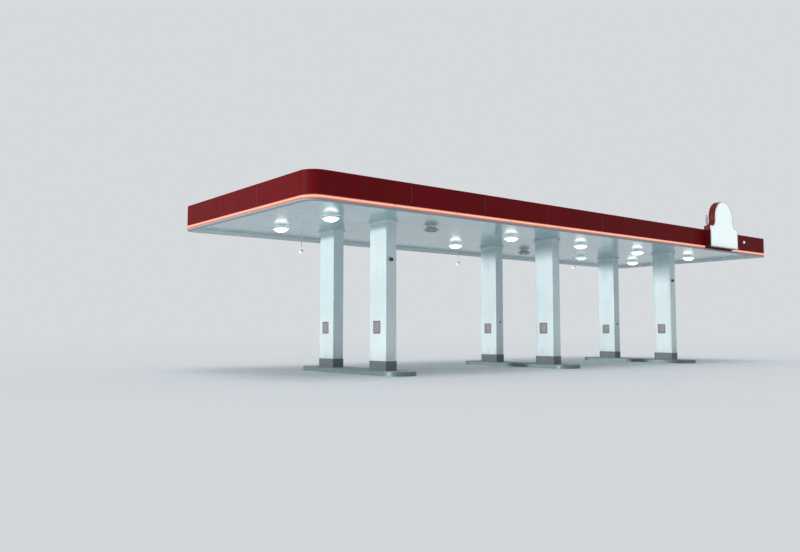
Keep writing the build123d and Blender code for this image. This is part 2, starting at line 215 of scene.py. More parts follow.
@dataclass(frozen=True)
class Finish:
    """A finish of the canopy, made into one material when it is first asked for."""

    name: str
    colour: Colour

    def material(self) -> bpy.types.Material:
        """Make the material, or find it.

        Returns:
            The finish's material.
        """
        made = bpy.data.materials.get(self.name)
        if made is None:
            made = bpy.data.materials.new(self.name)
            made.use_nodes = True
            self.dress(Surface(made.node_tree, self.colour))
        return made

    def dress(self, tree: Surface) -> None:
        """Link the finish's patterns to the shader.

        Args:
            tree: The material's tree, with the shader in the plain colour.
        """
        raise NotImplementedError

    def shade(self, share: float, tint: Colour = EVEN) -> Colour:
        """Return the finish's colour, darkened or tinted."""
        return tuple(min(part * share * hue, 1.0) for part, hue in zip(self.colour, tint))


@dataclass(frozen=True)
class PaintedSheet(Finish):
    """Coated sheet metal: slow changes of tone, rain streaks, road spray, dents and orange peel."""

    roughness: float = 0.28
    haze: float = 0.28
    coat: float = 0.25
    specular: float = 0.5
    grime: Colour = (0.17, 0.155, 0.13)
    streaks: float = 0.22
    specks: float = 0.25
    spray_top: float = 0.0
    waves: float = 0.006
    wave_stretch: Point = EVEN
    peel: float = 0.0002
    grain: Point = (7.0, 7.0, 0.35)

    def tone(self, tree: Shading) -> Socket:
        """Return the paint's own colour, with slow changes of tone."""
        slow = tree.ramp(tree.noise(0.55, detail=2.0), 0.3, 0.7)
        return tree.mix(slow, self.shade(0.93, (0.99, 1.0, 1.01)), self.shade(1.03))

    def dress(self, tree: Surface) -> None:
        """Build the coated surface."""
        colour = self.tone(tree)
        streak = tree.patches(1.6, 0.52, 0.78, self.streaks, self.grain, 4.0)
        colour = tree.mix(streak, colour, self.grime)
        specks = tree.patches(85.0, 0.66, 0.78, self.specks, detail=2.0)
        colour = tree.mix(specks, colour, self.grime)
        if self.spray_top > 0:
            edge = tree.math("ADD", tree.axis("Z"), tree.noise(5.0, (1.0, 1.0, 0.4)))
            spray = tree.ramp(edge, self.spray_top + 0.9, self.spray_top + 0.1, 0.0, 0.42)
            colour = tree.mix(spray, colour, self.grime)
        gloss = tree.math("ADD", streak, tree.noise(14.0))
        rough = tree.ramp(gloss, 0.3, 1.0, self.roughness, self.roughness + self.haze)
        dents = tree.bump(tree.noise(1.1, self.wave_stretch, 1.0), self.waves)
        peel = tree.bump(tree.noise(260.0, detail=1.0), self.peel, 0.6, dents)
        tree.finish(Base_Color=colour, Roughness=rough, Normal=peel, Coat_Weight=self.coat,
                    Coat_Roughness=0.12, Specular_IOR_Level=self.specular)


@dataclass(frozen=True)
class SheetWithPaintedInnerLight(PaintedSheet):
    """Coated sheet whose faces that look in towards the canopy's middle get a paler colour, as painted light
    from the luminaires.
    """

    # painted light: the inner faces are painted paler, as if lit by the luminaires
    inside: Colour = (0.84, 0.90, 0.91)

    def tone(self, tree: Shading) -> Socket:
        """Choose the colour by the side, with painted lamp light on the inner faces.

        Args:
            tree: The material's tree.

        Returns:
            The outer colour, or the paler inner one, which is painted light, on faces that look inwards.
        """
        normal = tree.add("ShaderNodeNewGeometry").outputs["True Normal"]
        flat = tree.vector("MULTIPLY", tree.place(), (1.0, 1.0, 0.0)).outputs[0]
        outward = tree.ramp(tree.vector("DOT_PRODUCT", flat, normal).outputs["Value"], -0.4, -0.2)
        return tree.mix(outward, self.inside, super().tone(tree))


@dataclass(frozen=True)
class GalvanisedSteel(Finish):
    """Hot-dipped steel: spangle, dull patches, white bloom and scuffs."""

    roughness: float = 0.42
    spangle: float = 38.0
    bloom: float = 0.22

    def dress(self, tree: Surface) -> None:
        """Build the zinc surface."""
        cells = tree.cells(self.spangle, "Color")
        tone = tree.add("ShaderNodeSeparateColor", {0: cells}).outputs[0]
        colour = tree.mix(tone, self.shade(0.86), self.shade(1.08, (0.99, 1.0, 1.02)))
        patch = tree.patches(5.0, 0.45, 0.8, self.bloom, detail=5.0)
        colour = tree.mix(patch, colour, (0.62, 0.63, 0.62))
        drips = tree.patches(5.0, 0.6, 0.85, 0.2, (3.0, 3.0, 0.3), 5.0)
        colour = tree.mix(drips, colour, (0.20, 0.15, 0.11))
        mottle = tree.math("ADD", tone, patch)
        rough = tree.ramp(mottle, 0.0, 1.4, self.roughness - 0.1, self.roughness + 0.25)
        normal = tree.bump(tree.noise(120.0, detail=2.0), 0.0004, 0.5)
        tree.finish(Base_Color=colour, Roughness=rough, Normal=normal, Metallic=0.75)


@dataclass(frozen=True)
class PrimedSteel(Finish):
    """Rolled steel under primer: brush marks, mill scale, scuffs and spots of rust."""

    rust: Colour = (0.21, 0.075, 0.03)
    rust_share: float = 0.5

    def dress(self, tree: Surface) -> None:
        """Build the primed surface."""
        slow = tree.ramp(tree.noise(1.2), 0.3, 0.7)
        colour = tree.mix(slow, self.shade(0.85), self.shade(1.1))
        bloom = tree.patches(7.0, 0.62, 0.74, self.rust_share, detail=6.0)
        colour = tree.mix(bloom, colour, self.rust)
        spots = tree.patches(55.0, 0.66, 0.72, self.rust_share, detail=3.0)
        colour = tree.mix(spots, colour, self.rust)
        rough = tree.ramp(tree.math("ADD", bloom, tree.noise(20.0)), 0.2, 1.2, 0.45, 0.85)
        scale = tree.bump(tree.noise(45.0, detail=5.0), 0.0006)
        tree.finish(Base_Color=colour, Roughness=rough, Normal=scale)


@dataclass(frozen=True)
class CastConcrete(Finish):
    """Trowelled concrete: cement mottle, fine stones, hair cracks, oil marks and pits."""

    stain: Colour = (0.075, 0.072, 0.068)

    def dress(self, tree: Surface) -> None:
        """Build the concrete surface."""
        mottle = tree.ramp(tree.noise(2.2, detail=6.0), 0.3, 0.7)
        colour = tree.mix(mottle, self.shade(0.78), self.shade(1.08, (1.0, 0.995, 0.97)))
        stones = tree.ramp(tree.cells(110.0), 0.05, 0.5, 0.22, 0.0)
        colour = tree.mix(stones, colour, self.shade(0.55))
        oil = tree.patches(1.5, 0.6, 0.78, 0.6, detail=4.0)
        colour = tree.mix(oil, colour, self.stain)
        wander = tree.add("ShaderNodeTexNoise", {"Vector": tree.place(), "Scale": 6.0}).outputs[1]
        bent = tree.vector("ADD", tree.place(), wander).outputs[0]
        slabs = tree.add("ShaderNodeTexVoronoi", {"Vector": bent, "Scale": 0.8}, feature="DISTANCE_TO_EDGE")
        crack = tree.ramp(slabs.outputs["Distance"], 0.0, 0.006, 0.75, 0.0)
        colour = tree.mix(crack, colour, self.stain)
        broom = tree.noise(9.0, (1.0, 30.0, 1.0), 2.0)
        pits = tree.ramp(tree.noise(90.0, detail=2.0), 0.6, 0.75, 1.0, 0.0)
        rough = tree.ramp(tree.math("SUBTRACT", mottle, oil), 0.0, 1.0, 0.62, 0.95)
        normal = tree.bump(broom, 0.0012, 0.6)
        normal = tree.bump(pits, 0.0015, 0.8, normal)
        normal = tree.bump(crack, 0.002, 1.0, normal)
        tree.finish(Base_Color=colour, Roughness=rough, Normal=normal)


@dataclass(frozen=True)
class LitBand(Finish):
    """A lit plastic tube: pale along its middle, deep at its edges, a little uneven along its run."""

    core: Colour
    level: float
    half_height: float
    strength: float = 1.0

    def dress(self, tree: Surface) -> None:
        """Build the glow from the height above or below the tube's middle."""
        off = tree.math("ABSOLUTE", tree.math("SUBTRACT", tree.axis("Z"), self.level))
        share = tree.math("DIVIDE", off, self.half_height)
        uneven = tree.math("MULTIPLY", tree.noise(0.9, detail=1.0), 0.22)
        outer = tree.ramp(tree.math("ADD", share, uneven), 0.3, 1.05)
        glow = tree.mix(outer, self.core, self.colour)
        dust = tree.patches(30.0, 0.55, 0.8, 0.3, (1.0, 1.0, 0.5), 4.0)
        glow = tree.mix(dust, glow, self.shade(0.45))
        rough = tree.ramp(dust, 0.0, 0.3, 0.22, 0.5)
        normal = tree.bump(tree.noise(3.0, detail=1.0), 0.002)
        tree.finish(Base_Color=self.shade(0.2), Emission_Color=glow, Emission_Strength=self.strength,
                    Roughness=rough, Normal=normal, Coat_Weight=0.2)


@dataclass(frozen=True)
class LitGlass(Finish):
    """Prismatic glass or opal plastic over a lamp, brighter where the piece's glow attribute is high; the
    pendant domes use it for a painted glow.
    """

    edge: Colour
    strength: float
    ribs: float = 140.0

    def dress(self, tree: Surface) -> None:
        """Build the glow from the attribute that the mesh carries."""
        glow = tree.add("ShaderNodeAttribute", attribute_name="glow").outputs["Fac"]
        colour = tree.mix(tree.ramp(glow, 0.0, 1.0), self.edge, self.colour)
        insects = tree.patches(42.0, 0.66, 0.74, 0.5, detail=3.0)
        colour = tree.mix(insects, colour, self.shade(0.35))
        prisms = tree.ramp(tree.cells(self.ribs), 0.0, 0.8)
        rough = tree.ramp(prisms, 0.0, 1.0, 0.12, 0.3)
        normal = tree.bump(prisms, 0.0008)
        tree.finish(Base_Color=colour, Emission_Color=colour, Emission_Strength=self.strength,
                    Roughness=rough, Normal=normal, Coat_Weight=0.5, IOR=1.5)


@dataclass(frozen=True)
class LitFace(Finish):
    """An opal sign face with tubes behind it: faint upright bands, dust along the foot."""

    centre: float
    foot: float
    tube_pitch: float = 0.30
    strength: float = 0.72

    def dress(self, tree: Surface) -> None:
        """Build the glow from the place across the face."""
        across = tree.math("SUBTRACT", tree.axis("X"), self.centre)
        turn = tree.math("MULTIPLY", across, tau / self.tube_pitch)
        bands = tree.ramp(tree.math("COSINE", turn), -1.0, 1.0)
        colour = tree.mix(bands, self.shade(0.96, (0.97, 1.0, 1.0)), self.colour)
        low = tree.math("ADD", tree.axis("Z"), tree.math("MULTIPLY", tree.noise(4.0), 0.25))
        dust = tree.ramp(low, self.foot + 0.45, self.foot + 0.1, 0.0, 0.22)
        colour = tree.mix(dust, colour, (0.36, 0.36, 0.33))
        specks = tree.patches(60.0, 0.68, 0.76, 0.3, detail=2.0)
        colour = tree.mix(specks, colour, (0.3, 0.3, 0.28))
        rough = tree.ramp(tree.noise(9.0), 0.3, 0.7, 0.16, 0.34)
        normal = tree.bump(tree.noise(1.4, detail=1.0), 0.006)
        tree.finish(Base_Color=self.shade(0.35), Emission_Color=colour, Emission_Strength=self.strength,
                    Roughness=rough, Normal=normal)


@dataclass(frozen=True)
class MouldedPlastic(Finish):
    """Moulded plastic or rubber: fine grain, dust in patches."""

    roughness: float = 0.4
    dust: float = 0.2
    gloss: float = 0.0

    def dress(self, tree: Surface) -> None:
        """Build the moulded surface."""
        patch = tree.patches(8.0, 0.45, 0.75, self.dust, detail=4.0)
        colour = tree.mix(patch, self.colour, (0.42, 0.41, 0.38))
        scuffs = tree.patches(70.0, 0.62, 0.75, 0.3, (1.0, 1.0, 0.2))
        colour = tree.mix(scuffs, colour, self.shade(1.4))
        rough = tree.ramp(patch, 0.0, 0.3, self.roughness, self.roughness + 0.2)
        normal = tree.bump(tree.noise(420.0, detail=1.0), 0.0003, 0.6)
        tree.finish(Base_Color=colour, Roughness=rough, Normal=normal, Coat_Weight=self.gloss)


@dataclass(frozen=True)
class MachinedMetal(Finish):
    """Zinc, stainless steel or aluminium on small parts: drawn grain and dull spots."""

    roughness: float = 0.32
    metallic: float = 0.9

    def dress(self, tree: Surface) -> None:
        """Build the metal surface."""
        grain = tree.noise(40.0, (1.0, 1.0, 18.0), 2.0)
        colour = tree.mix(tree.ramp(grain, 0.3, 0.7), self.shade(0.82), self.shade(1.08))
        dull = tree.patches(25.0, 0.55, 0.75, 0.45, detail=4.0)
        colour = tree.mix(dull, colour, self.shade(0.5, (1.05, 1.0, 0.9)))
        rough = tree.ramp(dull, 0.0, 0.45, self.roughness, self.roughness + 0.3)
        tree.finish(Base_Color=colour, Roughness=rough, Normal=tree.bump(grain, 0.0002, 0.5),
                    Metallic=self.metallic)


CONCRETE = CastConcrete("island_concrete", (0.50, 0.50, 0.475))
KERB_STEEL = GalvanisedSteel("kerb_zinc", (0.18, 0.245, 0.25), roughness=0.55, bloom=0.08)
BEAM_STEEL = PrimedSteel("beam_primer", (0.30, 0.32, 0.325), rust_share=0.35)
POST_STEEL = PrimedSteel("post_primer", (0.28, 0.29, 0.29), rust_share=0.6)
PURLIN_STEEL = PrimedSteel("purlin_primer", (0.34, 0.36, 0.365), rust_share=0.3)
CHANNEL_STEEL = GalvanisedSteel("channel_zinc", (0.52, 0.54, 0.55))
FRAME_STEEL = GalvanisedSteel("frame_zinc", (0.56, 0.58, 0.59), spangle=60.0)
STAND_STEEL = GalvanisedSteel("stand_zinc", (0.27, 0.29, 0.295), roughness=0.55)
CLADDING = PaintedSheet("cladding_white", (0.68, 0.795, 0.815), streaks=0.07, spray_top=0.36, waves=0.005)
SKIRT = PaintedSheet("skirt_grey", (0.10, 0.14, 0.145), roughness=0.4, grime=(0.10, 0.115, 0.11),
                     streaks=0.35, spray_top=0.32, waves=0.004)
COLLAR = PaintedSheet("collar_white", (0.70, 0.78, 0.80), streaks=0.06, waves=0.002)
# painted shade: the soffit's white paint is set darker and teal, as the dim underside looks under the lamps
SOFFIT_IN_PAINTED_SHADE = PaintedSheet("soffit_white", (0.34, 0.505, 0.545), roughness=0.17, haze=0.03, coat=0.15,
                      streaks=0.06, specks=0.0, waves=0.001, wave_stretch=(1.0, 3.0, 1.0), peel=0.0,
                      grain=(3.0, 0.35, 3.0))
# the trim's inner faces carry a painted pale colour that stands in for lamp light
TRIM = SheetWithPaintedInnerLight("trim_grey", (0.30, 0.36, 0.37), roughness=0.5, coat=0.0, streaks=0.1, waves=0.002)
FASCIA_RED = PaintedSheet("fascia_red", (0.14, 0.004, 0.0065), roughness=0.46, coat=0.0, specular=0.06,
                          grime=(0.04, 0.02, 0.02), streaks=0.3, waves=0.004)
CABINET_RED = PaintedSheet("cabinet_red", (0.115, 0.005, 0.007), roughness=0.45, coat=0.0, specular=0.2,
                           grime=(0.04, 0.02, 0.02), streaks=0.2, waves=0.003)
RETAINER_WHITE = PaintedSheet("retainer_white", (0.74, 0.82, 0.83), streaks=0.1, waves=0.001)
TRAY_WHITE = PaintedSheet("tray_white", (0.84, 0.90, 0.91), roughness=0.3, streaks=0.05, waves=0.001)
DOOR_ALUMINIUM = MachinedMetal("door_aluminium", (0.60, 0.63, 0.64), roughness=0.38, metallic=0.8)
SEALANT = MouldedPlastic("joint_sealant", (0.035, 0.033, 0.033), roughness=0.6, dust=0.35)
PALE_SEALANT = MouldedPlastic("column_sealant", (0.50, 0.56, 0.57), roughness=0.5, dust=0.15)
SKIRT_SEALANT = MouldedPlastic("skirt_sealant", (0.55, 0.57, 0.57), roughness=0.5, dust=0.35)
ZINC = MachinedMetal("zinc_fasteners", (0.52, 0.54, 0.55), roughness=0.42)
STAINLESS = MachinedMetal("stainless_fasteners", (0.66, 0.67, 0.67), roughness=0.28)
PLATE = PaintedSheet("plate_mauve", (0.285, 0.275, 0.295), roughness=0.45, coat=0.0, specular=0.3,
                     streaks=0.4, waves=0.0)
PLATE_BORDER = PaintedSheet("plate_border", (0.22, 0.125, 0.135), roughness=0.45, coat=0.0, specular=0.3,
                            streaks=0.25, waves=0.0)
DOME_WHITE = MouldedPlastic("dome_white", (0.84, 0.89, 0.90), roughness=0.28, dust=0.1, gloss=0.4)
DARK_PLASTIC = MouldedPlastic("dark_plastic", (0.045, 0.052, 0.058), roughness=0.42)
BUTTON_RED = MouldedPlastic("button_red", (0.40, 0.02, 0.02), roughness=0.32, gloss=0.3)


def paint(finish: Finish, *names: str) -> None:
    """Give CAD nodes a finish through their objects' material slots.

    Args:
        finish: The finish.
        names: The nodes.
    """
    for name in names:
        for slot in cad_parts[name].material_slots:
            slot.material = finish.material()


def nodes_called(prefix: str) -> list[str]:
    """Return the names of the CAD nodes that start with a prefix."""
    return sorted(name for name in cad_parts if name.startswith(prefix))


# Meshes

class Shell:
    """A mesh under construction from lofts, turned profiles and blocks."""

    def __init__(self) -> None:
        """Start empty."""
        self.mesh = bmesh.new()

    def loft(self, rings: Iterable[Sequence[Point]], closed: bool = False) -> None:
        """Join rings of equally many points and close both ends.

        Args:
            rings: The rings, in order.
            closed: Join the last ring to the first instead of closing the ends.
        """
        loops = [[self.mesh.verts.new(point) for point in ring] for ring in rings]
        followers = loops[1:] + loops[:1] if closed else loops[1:]
        for first, second in zip(loops, followers):
            for i, corner in enumerate(first):
                j = (i + 1) % len(first)
                self.mesh.faces.new((corner, first[j], second[j], second[i]))
        if not closed:
            self.mesh.faces.new(loops[0])
            self.mesh.faces.new(loops[-1])

    def turn(self, profile: Iterable[Flat], foot: Point, axis: Point, sides: int) -> None:
        """Turn a profile about an axis, closed at both ends.

        Args:
            profile: Radius and height of each ring, from the foot on.
            foot: The point on the axis where height is zero.
            axis: The way that height runs.
            sides: Points round each ring.
        """
        along = Vector(axis).normalized()
        across = along.orthogonal().normalized()
        beside = along.cross(across)
        angles = [tau * i / sides for i in range(sides)]
        self.loft([[Vector(foot) + along * height + (across * cos(a) + beside * sin(a)) * radius
                    for a in angles] for radius, height in profile])

    def block(self, low: Point, high: Point, bevel: float = 0.0) -> None:
        """Add a box.

        Args:
            low: Its low corner.
            high: Its high corner.
            bevel: How much is taken off its edges.
        """
        corners = bmesh.ops.create_cube(self.mesh, size=1.0)["verts"]
        for corner in corners:
            corner.co = Vector(h if part > 0 else l for part, l, h in zip(corner.co, low, high))
        if bevel > 0:
            edges = {edge for corner in corners for edge in corner.link_edges}
            bmesh.ops.bevel(self.mesh, geom=list(edges), offset=bevel, segments=1, affect="EDGES",
                            clamp_overlap=True)

    def pad(self, middle: Point, facing: Point, outline: Sequence[Flat], tiers: Iterable[Flat]) -> None:
        """Add a raised pad to an upright face, as slices of one outline.

        Args:
            middle: The pad's middle, on the face.
            facing: The way that the face looks.
            outline: The pad's outline, across the face and upwards.
            tiers: The distance from the face and the share of the outline of each slice.
        """
        out, up = Vector(facing), Vector(UP)
        across = Vector((abs(out.y), abs(out.x), 0.0))
        self.loft([[Vector(middle) + out * off + across * (a * share) + up * (b * share) for a, b in outline]
                   for off, share in tiers])

    def light(self, dark: float, bright: float) -> None:
        """Write how lit each point is, as its glow attribute.

        Args:
            dark: The level at which it is 0.
            bright: The level at which it is 1.
        """
        layer = self.mesh.verts.layers.float.new("glow")
        for vertex in self.mesh.verts:
            vertex[layer] = min(max((vertex.co.z - dark) / (bright - dark), 0.0), 1.0)

    def to_mesh(self, name: str, smooth: float = 35.0) -> Mesh:
        """Close the work and return it as a mesh, with its faces outwards.

        Args:
            name: The mesh's name.
            smooth: Edges that turn by more degrees than this stay sharp.

        Returns:
            The mesh.
        """
        bmesh.ops.recalc_face_normals(self.mesh, faces=self.mesh.faces)
        mesh = bpy.data.meshes.new(name)
        self.mesh.to_mesh(mesh)
        self.mesh.free()
        mesh.shade_smooth()
        mesh.set_sharp_from_angle(angle=radians(smooth))
        return mesh

    def deliver(self, name: str, finish: Finish, slot: str, *replaced: str) -> None:
        """Close the work and put it into the scene as a finished piece."""
        deliver(name, self.to_mesh(name), finish, slot, *replaced)


def in_scene(name: str, data: bpy.types.ID) -> bpy.types.Object:
    """Put data into the scene.

    Args:
        name: The new object's name.
        data: What it carries.

    Returns:
        The object.
    """
    made = bpy.data.objects.new(name, data)
    bpy.context.scene.collection.objects.link(made)
    return made


def deliver(name: str, mesh: Mesh, finish: Finish, slot: str, *replaced: str) -> None:
    """Put a finished mesh into the scene, hang it under the body's empty and hide the CAD nodes that it
    stands for.

    Args:
        name: The piece's name.
        mesh: Its mesh, in place.
        finish: What it is made of.
        slot: Not used.
        replaced: CAD nodes that it stands for.
    """
    mesh.materials.clear()
    mesh.materials.append(finish.material())
    piece = in_scene(name, mesh)
    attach(piece, BODY)
    if replaced:
        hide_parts(*replaced)
    log.info("%s: %d faces", name, len(mesh.polygons))


def rounded_square(half: float, radius: float, count: int) -> list[Flat]:
    """Space points evenly round a square with rounded corners.

    Args:
        half: Half the square's width.
        radius: The corners' radius.
        count: How many points.

    Returns:
        The points, anticlockwise.
    """
    straight = 2 * (half - radius)
    arc = radius * pi / 2
    side = straight + arc
    points = []
    for i in range(count):
        quarter, along = divmod(4 * side * i / count, side)
        if along < straight:
            x, y = half, along - straight / 2
        else:
            angle = (along - straight) / radius
            x = half - radius + radius * cos(angle)
            y = half - radius + radius * sin(angle)
        turn = quarter * pi / 2
        points.append((x * cos(turn) - y * sin(turn), x * sin(turn) + y * cos(turn)))
    return points


def rounded_rectangle(half_a: float, half_b: float, radius: float, per_corner: int = 4) -> list[Flat]:
    """Draw a rectangle with rounded corners.

    Args:
        half_a: Half its width.
        half_b: Half its height.
        radius: The corners' radius.
        per_corner: Steps round each corner.

    Returns:
        Its points, anticlockwise.
    """
    points = []
    for sign_a, sign_b, start in ((1, -1, -90), (1, 1, 0), (-1, 1, 90), (-1, -1, 180)):
        for i in range(per_corner + 1):
            angle = radians(start + 90 * i / per_corner)
            points.append((sign_a * (half_a - radius) + radius * cos(angle),
                           sign_b * (half_b - radius) + radius * sin(angle)))
    return points


def steps(start: float, stop: float, pitch: float) -> list[float]:
    """Return evenly spaced values from start to stop, about a pitch apart."""
    count = max(1, round(abs(stop - start) / pitch))
    return [start + (stop - start) * i / count for i in range(count + 1)]


def spread(start: Vector, stop: Vector, margin: float, pitch: float) -> Iterator[Vector]:
    """Space places evenly along a line.

    Args:
        start: The line's start.
        stop: Its end.
        margin: What is left free at both ends.
        pitch: The distance aimed at between places.

    Yields:
        The places.
    """
    length = (stop - start).length
    for share in steps(margin / length, 1 - margin / length, pitch / length):
        yield start.lerp(stop, share)


# Geometry Nodes

class ShapeTree(Graph):
    """A Geometry Nodes tree with named inputs, run once on a mesh."""

    SOCKETS = {float: "NodeSocketFloat", int: "NodeSocketInt", bpy.types.Material: "NodeSocketMaterial",
               bpy.types.Object: "NodeSocketObject"}

    def __init__(self, name: str, **inputs: type) -> None:
        """Make the tree and its inputs, from their names and kinds."""
        super().__init__(bpy.data.node_groups.new(name, "GeometryNodeTree"))
        self.tree.interface.new_socket("Geometry", in_out="INPUT", socket_type="NodeSocketGeometry")
        for label, kind in inputs.items():
            self.tree.interface.new_socket(label, in_out="INPUT", socket_type=self.SOCKETS[kind])
        self.tree.interface.new_socket("Geometry", in_out="OUTPUT", socket_type="NodeSocketGeometry")
        self.start = self.add("NodeGroupInput").outputs

    def set_on_points(self, instance: Socket, **turn_and_size: Socket) -> None:
        """Set an instance on every point of the input and end the tree.

        Args:
            instance: The geometry to set.
            turn_and_size: Its rotation and scale at each point.
        """
        points = self.add("GeometryNodeMeshToPoints", {0: self.start["Geometry"]}).outputs[0]
        inputs = {"Points": points, "Instance": instance, **turn_and_size}
        self.close(self.add("GeometryNodeInstanceOnPoints", inputs).outputs[0])

    def close(self, geometry: Socket) -> None:
        """End the tree with real meshes and their material.

        Args:
            geometry: What comes out, still as instances.
        """
        real = self.add("GeometryNodeRealizeInstances", {0: geometry}).outputs[0]
        dressed = self.add("GeometryNodeSetMaterial", {"Geometry": real, "Material": self.start["material"]})
        self.add("NodeGroupOutput", {0: dressed.outputs[0]})

    def run(self, mesh: Mesh, **values: Value) -> Mesh:
        """Run the tree on a mesh.

        Args:
            mesh: What the tree works on.
            values: The tree's inputs by name.

        Returns:
            The plain mesh that comes out.
        """
        carrier = in_scene(mesh.name, mesh)
        modifier = carrier.modifiers.new(self.tree.name, "NODES")
        modifier.node_group = self.tree
        for item in self.tree.interface.items_tree:
            if item.in_out == "INPUT" and item.name in values:
                modifier[item.identifier] = values[item.name]
        depsgraph = bpy.context.evaluated_depsgraph_get()
        made = bpy.data.meshes.new_from_object(carrier.evaluated_get(depsgraph), depsgraph=depsgraph)
        bpy.data.objects.remove(carrier)
        return made


@dataclass(frozen=True)
class Tier:
    """A tapered slice of a fastener, in shares of its width and height."""

    sides: int
    foot: float
    top: float
    low: float
    high: float


@dataclass(frozen=True)
class Slab:
    """A rectangular slice of a fastener, as two corners in shares of its width and height."""

    low: Point
    high: Point


class Fastener(Enum):
    """The small fixings that hold the canopy together."""

    HEX_BOLT = (Tier(12, 0.62, 0.60, 0.0, 0.16), Tier(6, 0.5, 0.5, 0.16, 0.85), Tier(6, 0.5, 0.40, 0.85, 1.0))
    ANCHOR_NUT = (Tier(12, 0.7, 0.68, 0.0, 0.1), Tier(6, 0.5, 0.5, 0.1, 0.55), Tier(8, 0.26, 0.22, 0.55, 1.0))
    PAN_SCREW = (Tier(10, 0.5, 0.45, 0.0, 0.45), Tier(10, 0.45, 0.26, 0.45, 1.0))
    POP_RIVET = (Tier(8, 0.5, 0.40, 0.0, 0.5), Tier(8, 0.40, 0.16, 0.5, 1.0))
    FLANGE_CLIP = (Slab((-0.5, -0.5, 0.0), (0.5, -0.3, 1.0)), Slab((-0.5, -0.3, 0.84), (0.5, 0.5, 1.0)),
                   Slab((-0.5, -0.9, 0.0), (0.5, -0.5, 0.16)))


@dataclass(frozen=True)
class Head:
    """One size of a fastener: its kind, and the width and height of its head in metres."""

    kind: Fastener
    width: float
    height: float


@dataclass(frozen=True)
class Seat:
    """Where a fastener sits: its foot, the way it faces and the way its own X runs."""

    at: Point
    facing: Point
    along: Point = (1.0, 0.0, 0.0)

    @classmethod
    def facing_x(cls, at: Point, side: float) -> "Seat":
        """Return a seat on a face that looks right, for a side of 1, or left, for -1."""
        return cls(at, (side, 0.0, 0.0), BACK)

    @classmethod
    def facing_y(cls, at: Point, side: float) -> "Seat":
        """Return a seat on a face that looks back, for a side of 1, or to the front, for -1."""
        return cls(at, (0.0, side, 0.0))


class FastenerTree(ShapeTree):
    """Sets one fastener on every point, facing the way that the point says."""

    def __init__(self, kind: Fastener) -> None:
        """Build the tree.

        Args:
            kind: The fastener that it sets.
        """
        super().__init__(f"set_{kind.name.lower()}", width=float, height=float, turn=float,
                         material=bpy.types.Material)
        slices = [self.tier(part) if isinstance(part, Tier) else self.slab(part) for part in kind.value]
        joined = self.add("GeometryNodeJoinGeometry")
        for part in slices:
            self.tree.links.new(part, joined.inputs[0])
        stood = self.add("FunctionNodeAxesToRotation", {0: self.way("facing"), 1: self.way("along")},
                         primary_axis="Z", secondary_axis="X")
        angle = self.add("FunctionNodeRandomValue", {2: 0.0, 3: self.start["turn"], "Seed": 11},
                         data_type="FLOAT")
        spin = self.add("FunctionNodeAxisAngleToRotation", {"Axis": UP, "Angle": angle.outputs[1]})
        turned = self.add("FunctionNodeRotateRotation", {0: stood.outputs[0], 1: spin.outputs[0]},
                          rotation_space="LOCAL")
        size = self.add("ShaderNodeCombineXYZ", {0: self.start["width"], 1: self.start["width"],
                                                 2: self.start["height"]})
        self.set_on_points(joined.outputs[0], Rotation=turned.outputs[0], Scale=size.outputs[0])

    def way(self, name: str) -> Socket:
        """Read one of the directions that the points carry."""
        inputs = {"Name": name}
        return self.add("GeometryNodeInputNamedAttribute", inputs, data_type="FLOAT_VECTOR").outputs[0]

    def tier(self, part: Tier) -> Socket:
        """Add a tapered slice.

        Args:
            part: Its sides, radii and levels.

        Returns:
            Its geometry.
        """
        cone = self.add("GeometryNodeMeshCone", {"Vertices": part.sides, "Radius Bottom": part.foot,
                                                 "Radius Top": part.top, "Depth": part.high - part.low})
        return self.moved(cone.outputs[0], (0.0, 0.0, part.low))

    def slab(self, part: Slab) -> Socket:
        """Add a rectangular slice.

        Args:
            part: Its corners.

        Returns:
            Its geometry.
        """
        size = tuple(h - l for l, h in zip(part.low, part.high))
        middle = tuple((h + l) / 2 for l, h in zip(part.low, part.high))
        cube = self.add("GeometryNodeMeshCube", {"Size": size})
        return self.moved(cube.outputs[0], middle)

    def moved(self, geometry: Socket, by: Point) -> Socket:
        """Move a slice from its own origin to its place."""
        return self.add("GeometryNodeTransform", {"Geometry": geometry, "Translation": by}).outputs[0]


class RepeatTree(ShapeTree):
    """Sets one model on every point."""

    def __init__(self) -> None:
        """Build the tree."""
        super().__init__("repeat_model", model=bpy.types.Object, material=bpy.types.Material)
        model = self.add("GeometryNodeObjectInfo", {"Object": self.start["model"], "As Instance": True})
        self.set_on_points(model.outputs["Geometry"])


class StripTree(ShapeTree):
    """Sweeps a half-round or many-sided strip along paths that run with the outside on their right."""

    def __init__(self) -> None:
        """Build the tree."""
        super().__init__("sweep_strip", height=float, reach=float, stand_off=float, facets=int,
                         material=bpy.types.Material)
        path = self.add("GeometryNodeMeshToCurve", {0: self.start["Geometry"]})
        upright = self.add("GeometryNodeSetCurveNormal", {0: path.outputs[0]}, mode="Z_UP")
        sweep = {"Radius": 1.0, "Start Angle": -pi / 2, "Sweep Angle": pi}
        arc = self.add("GeometryNodeCurveArc", {"Resolution": self.start["facets"], **sweep}, mode="RADIUS")
        closed = self.add("GeometryNodeSetSplineCyclic", {0: arc.outputs[0], "Cyclic": True})
        half = self.math("MULTIPLY", self.start["height"], 0.5)
        size = self.add("ShaderNodeCombineXYZ", {0: self.start["reach"], 1: half, 2: 1.0})
        shift = self.add("ShaderNodeCombineXYZ", {0: self.start["stand_off"]})
        profile = self.add("GeometryNodeTransform", {"Geometry": closed.outputs[0], "Scale": size.outputs[0],
                                                     "Translation": shift.outputs[0]})
        swept = self.add("GeometryNodeCurveToMesh", {"Curve": upright.outputs[0],
                                                     "Profile Curve": profile.outputs[0], "Fill Caps": True})
        self.close(swept.outputs[0])


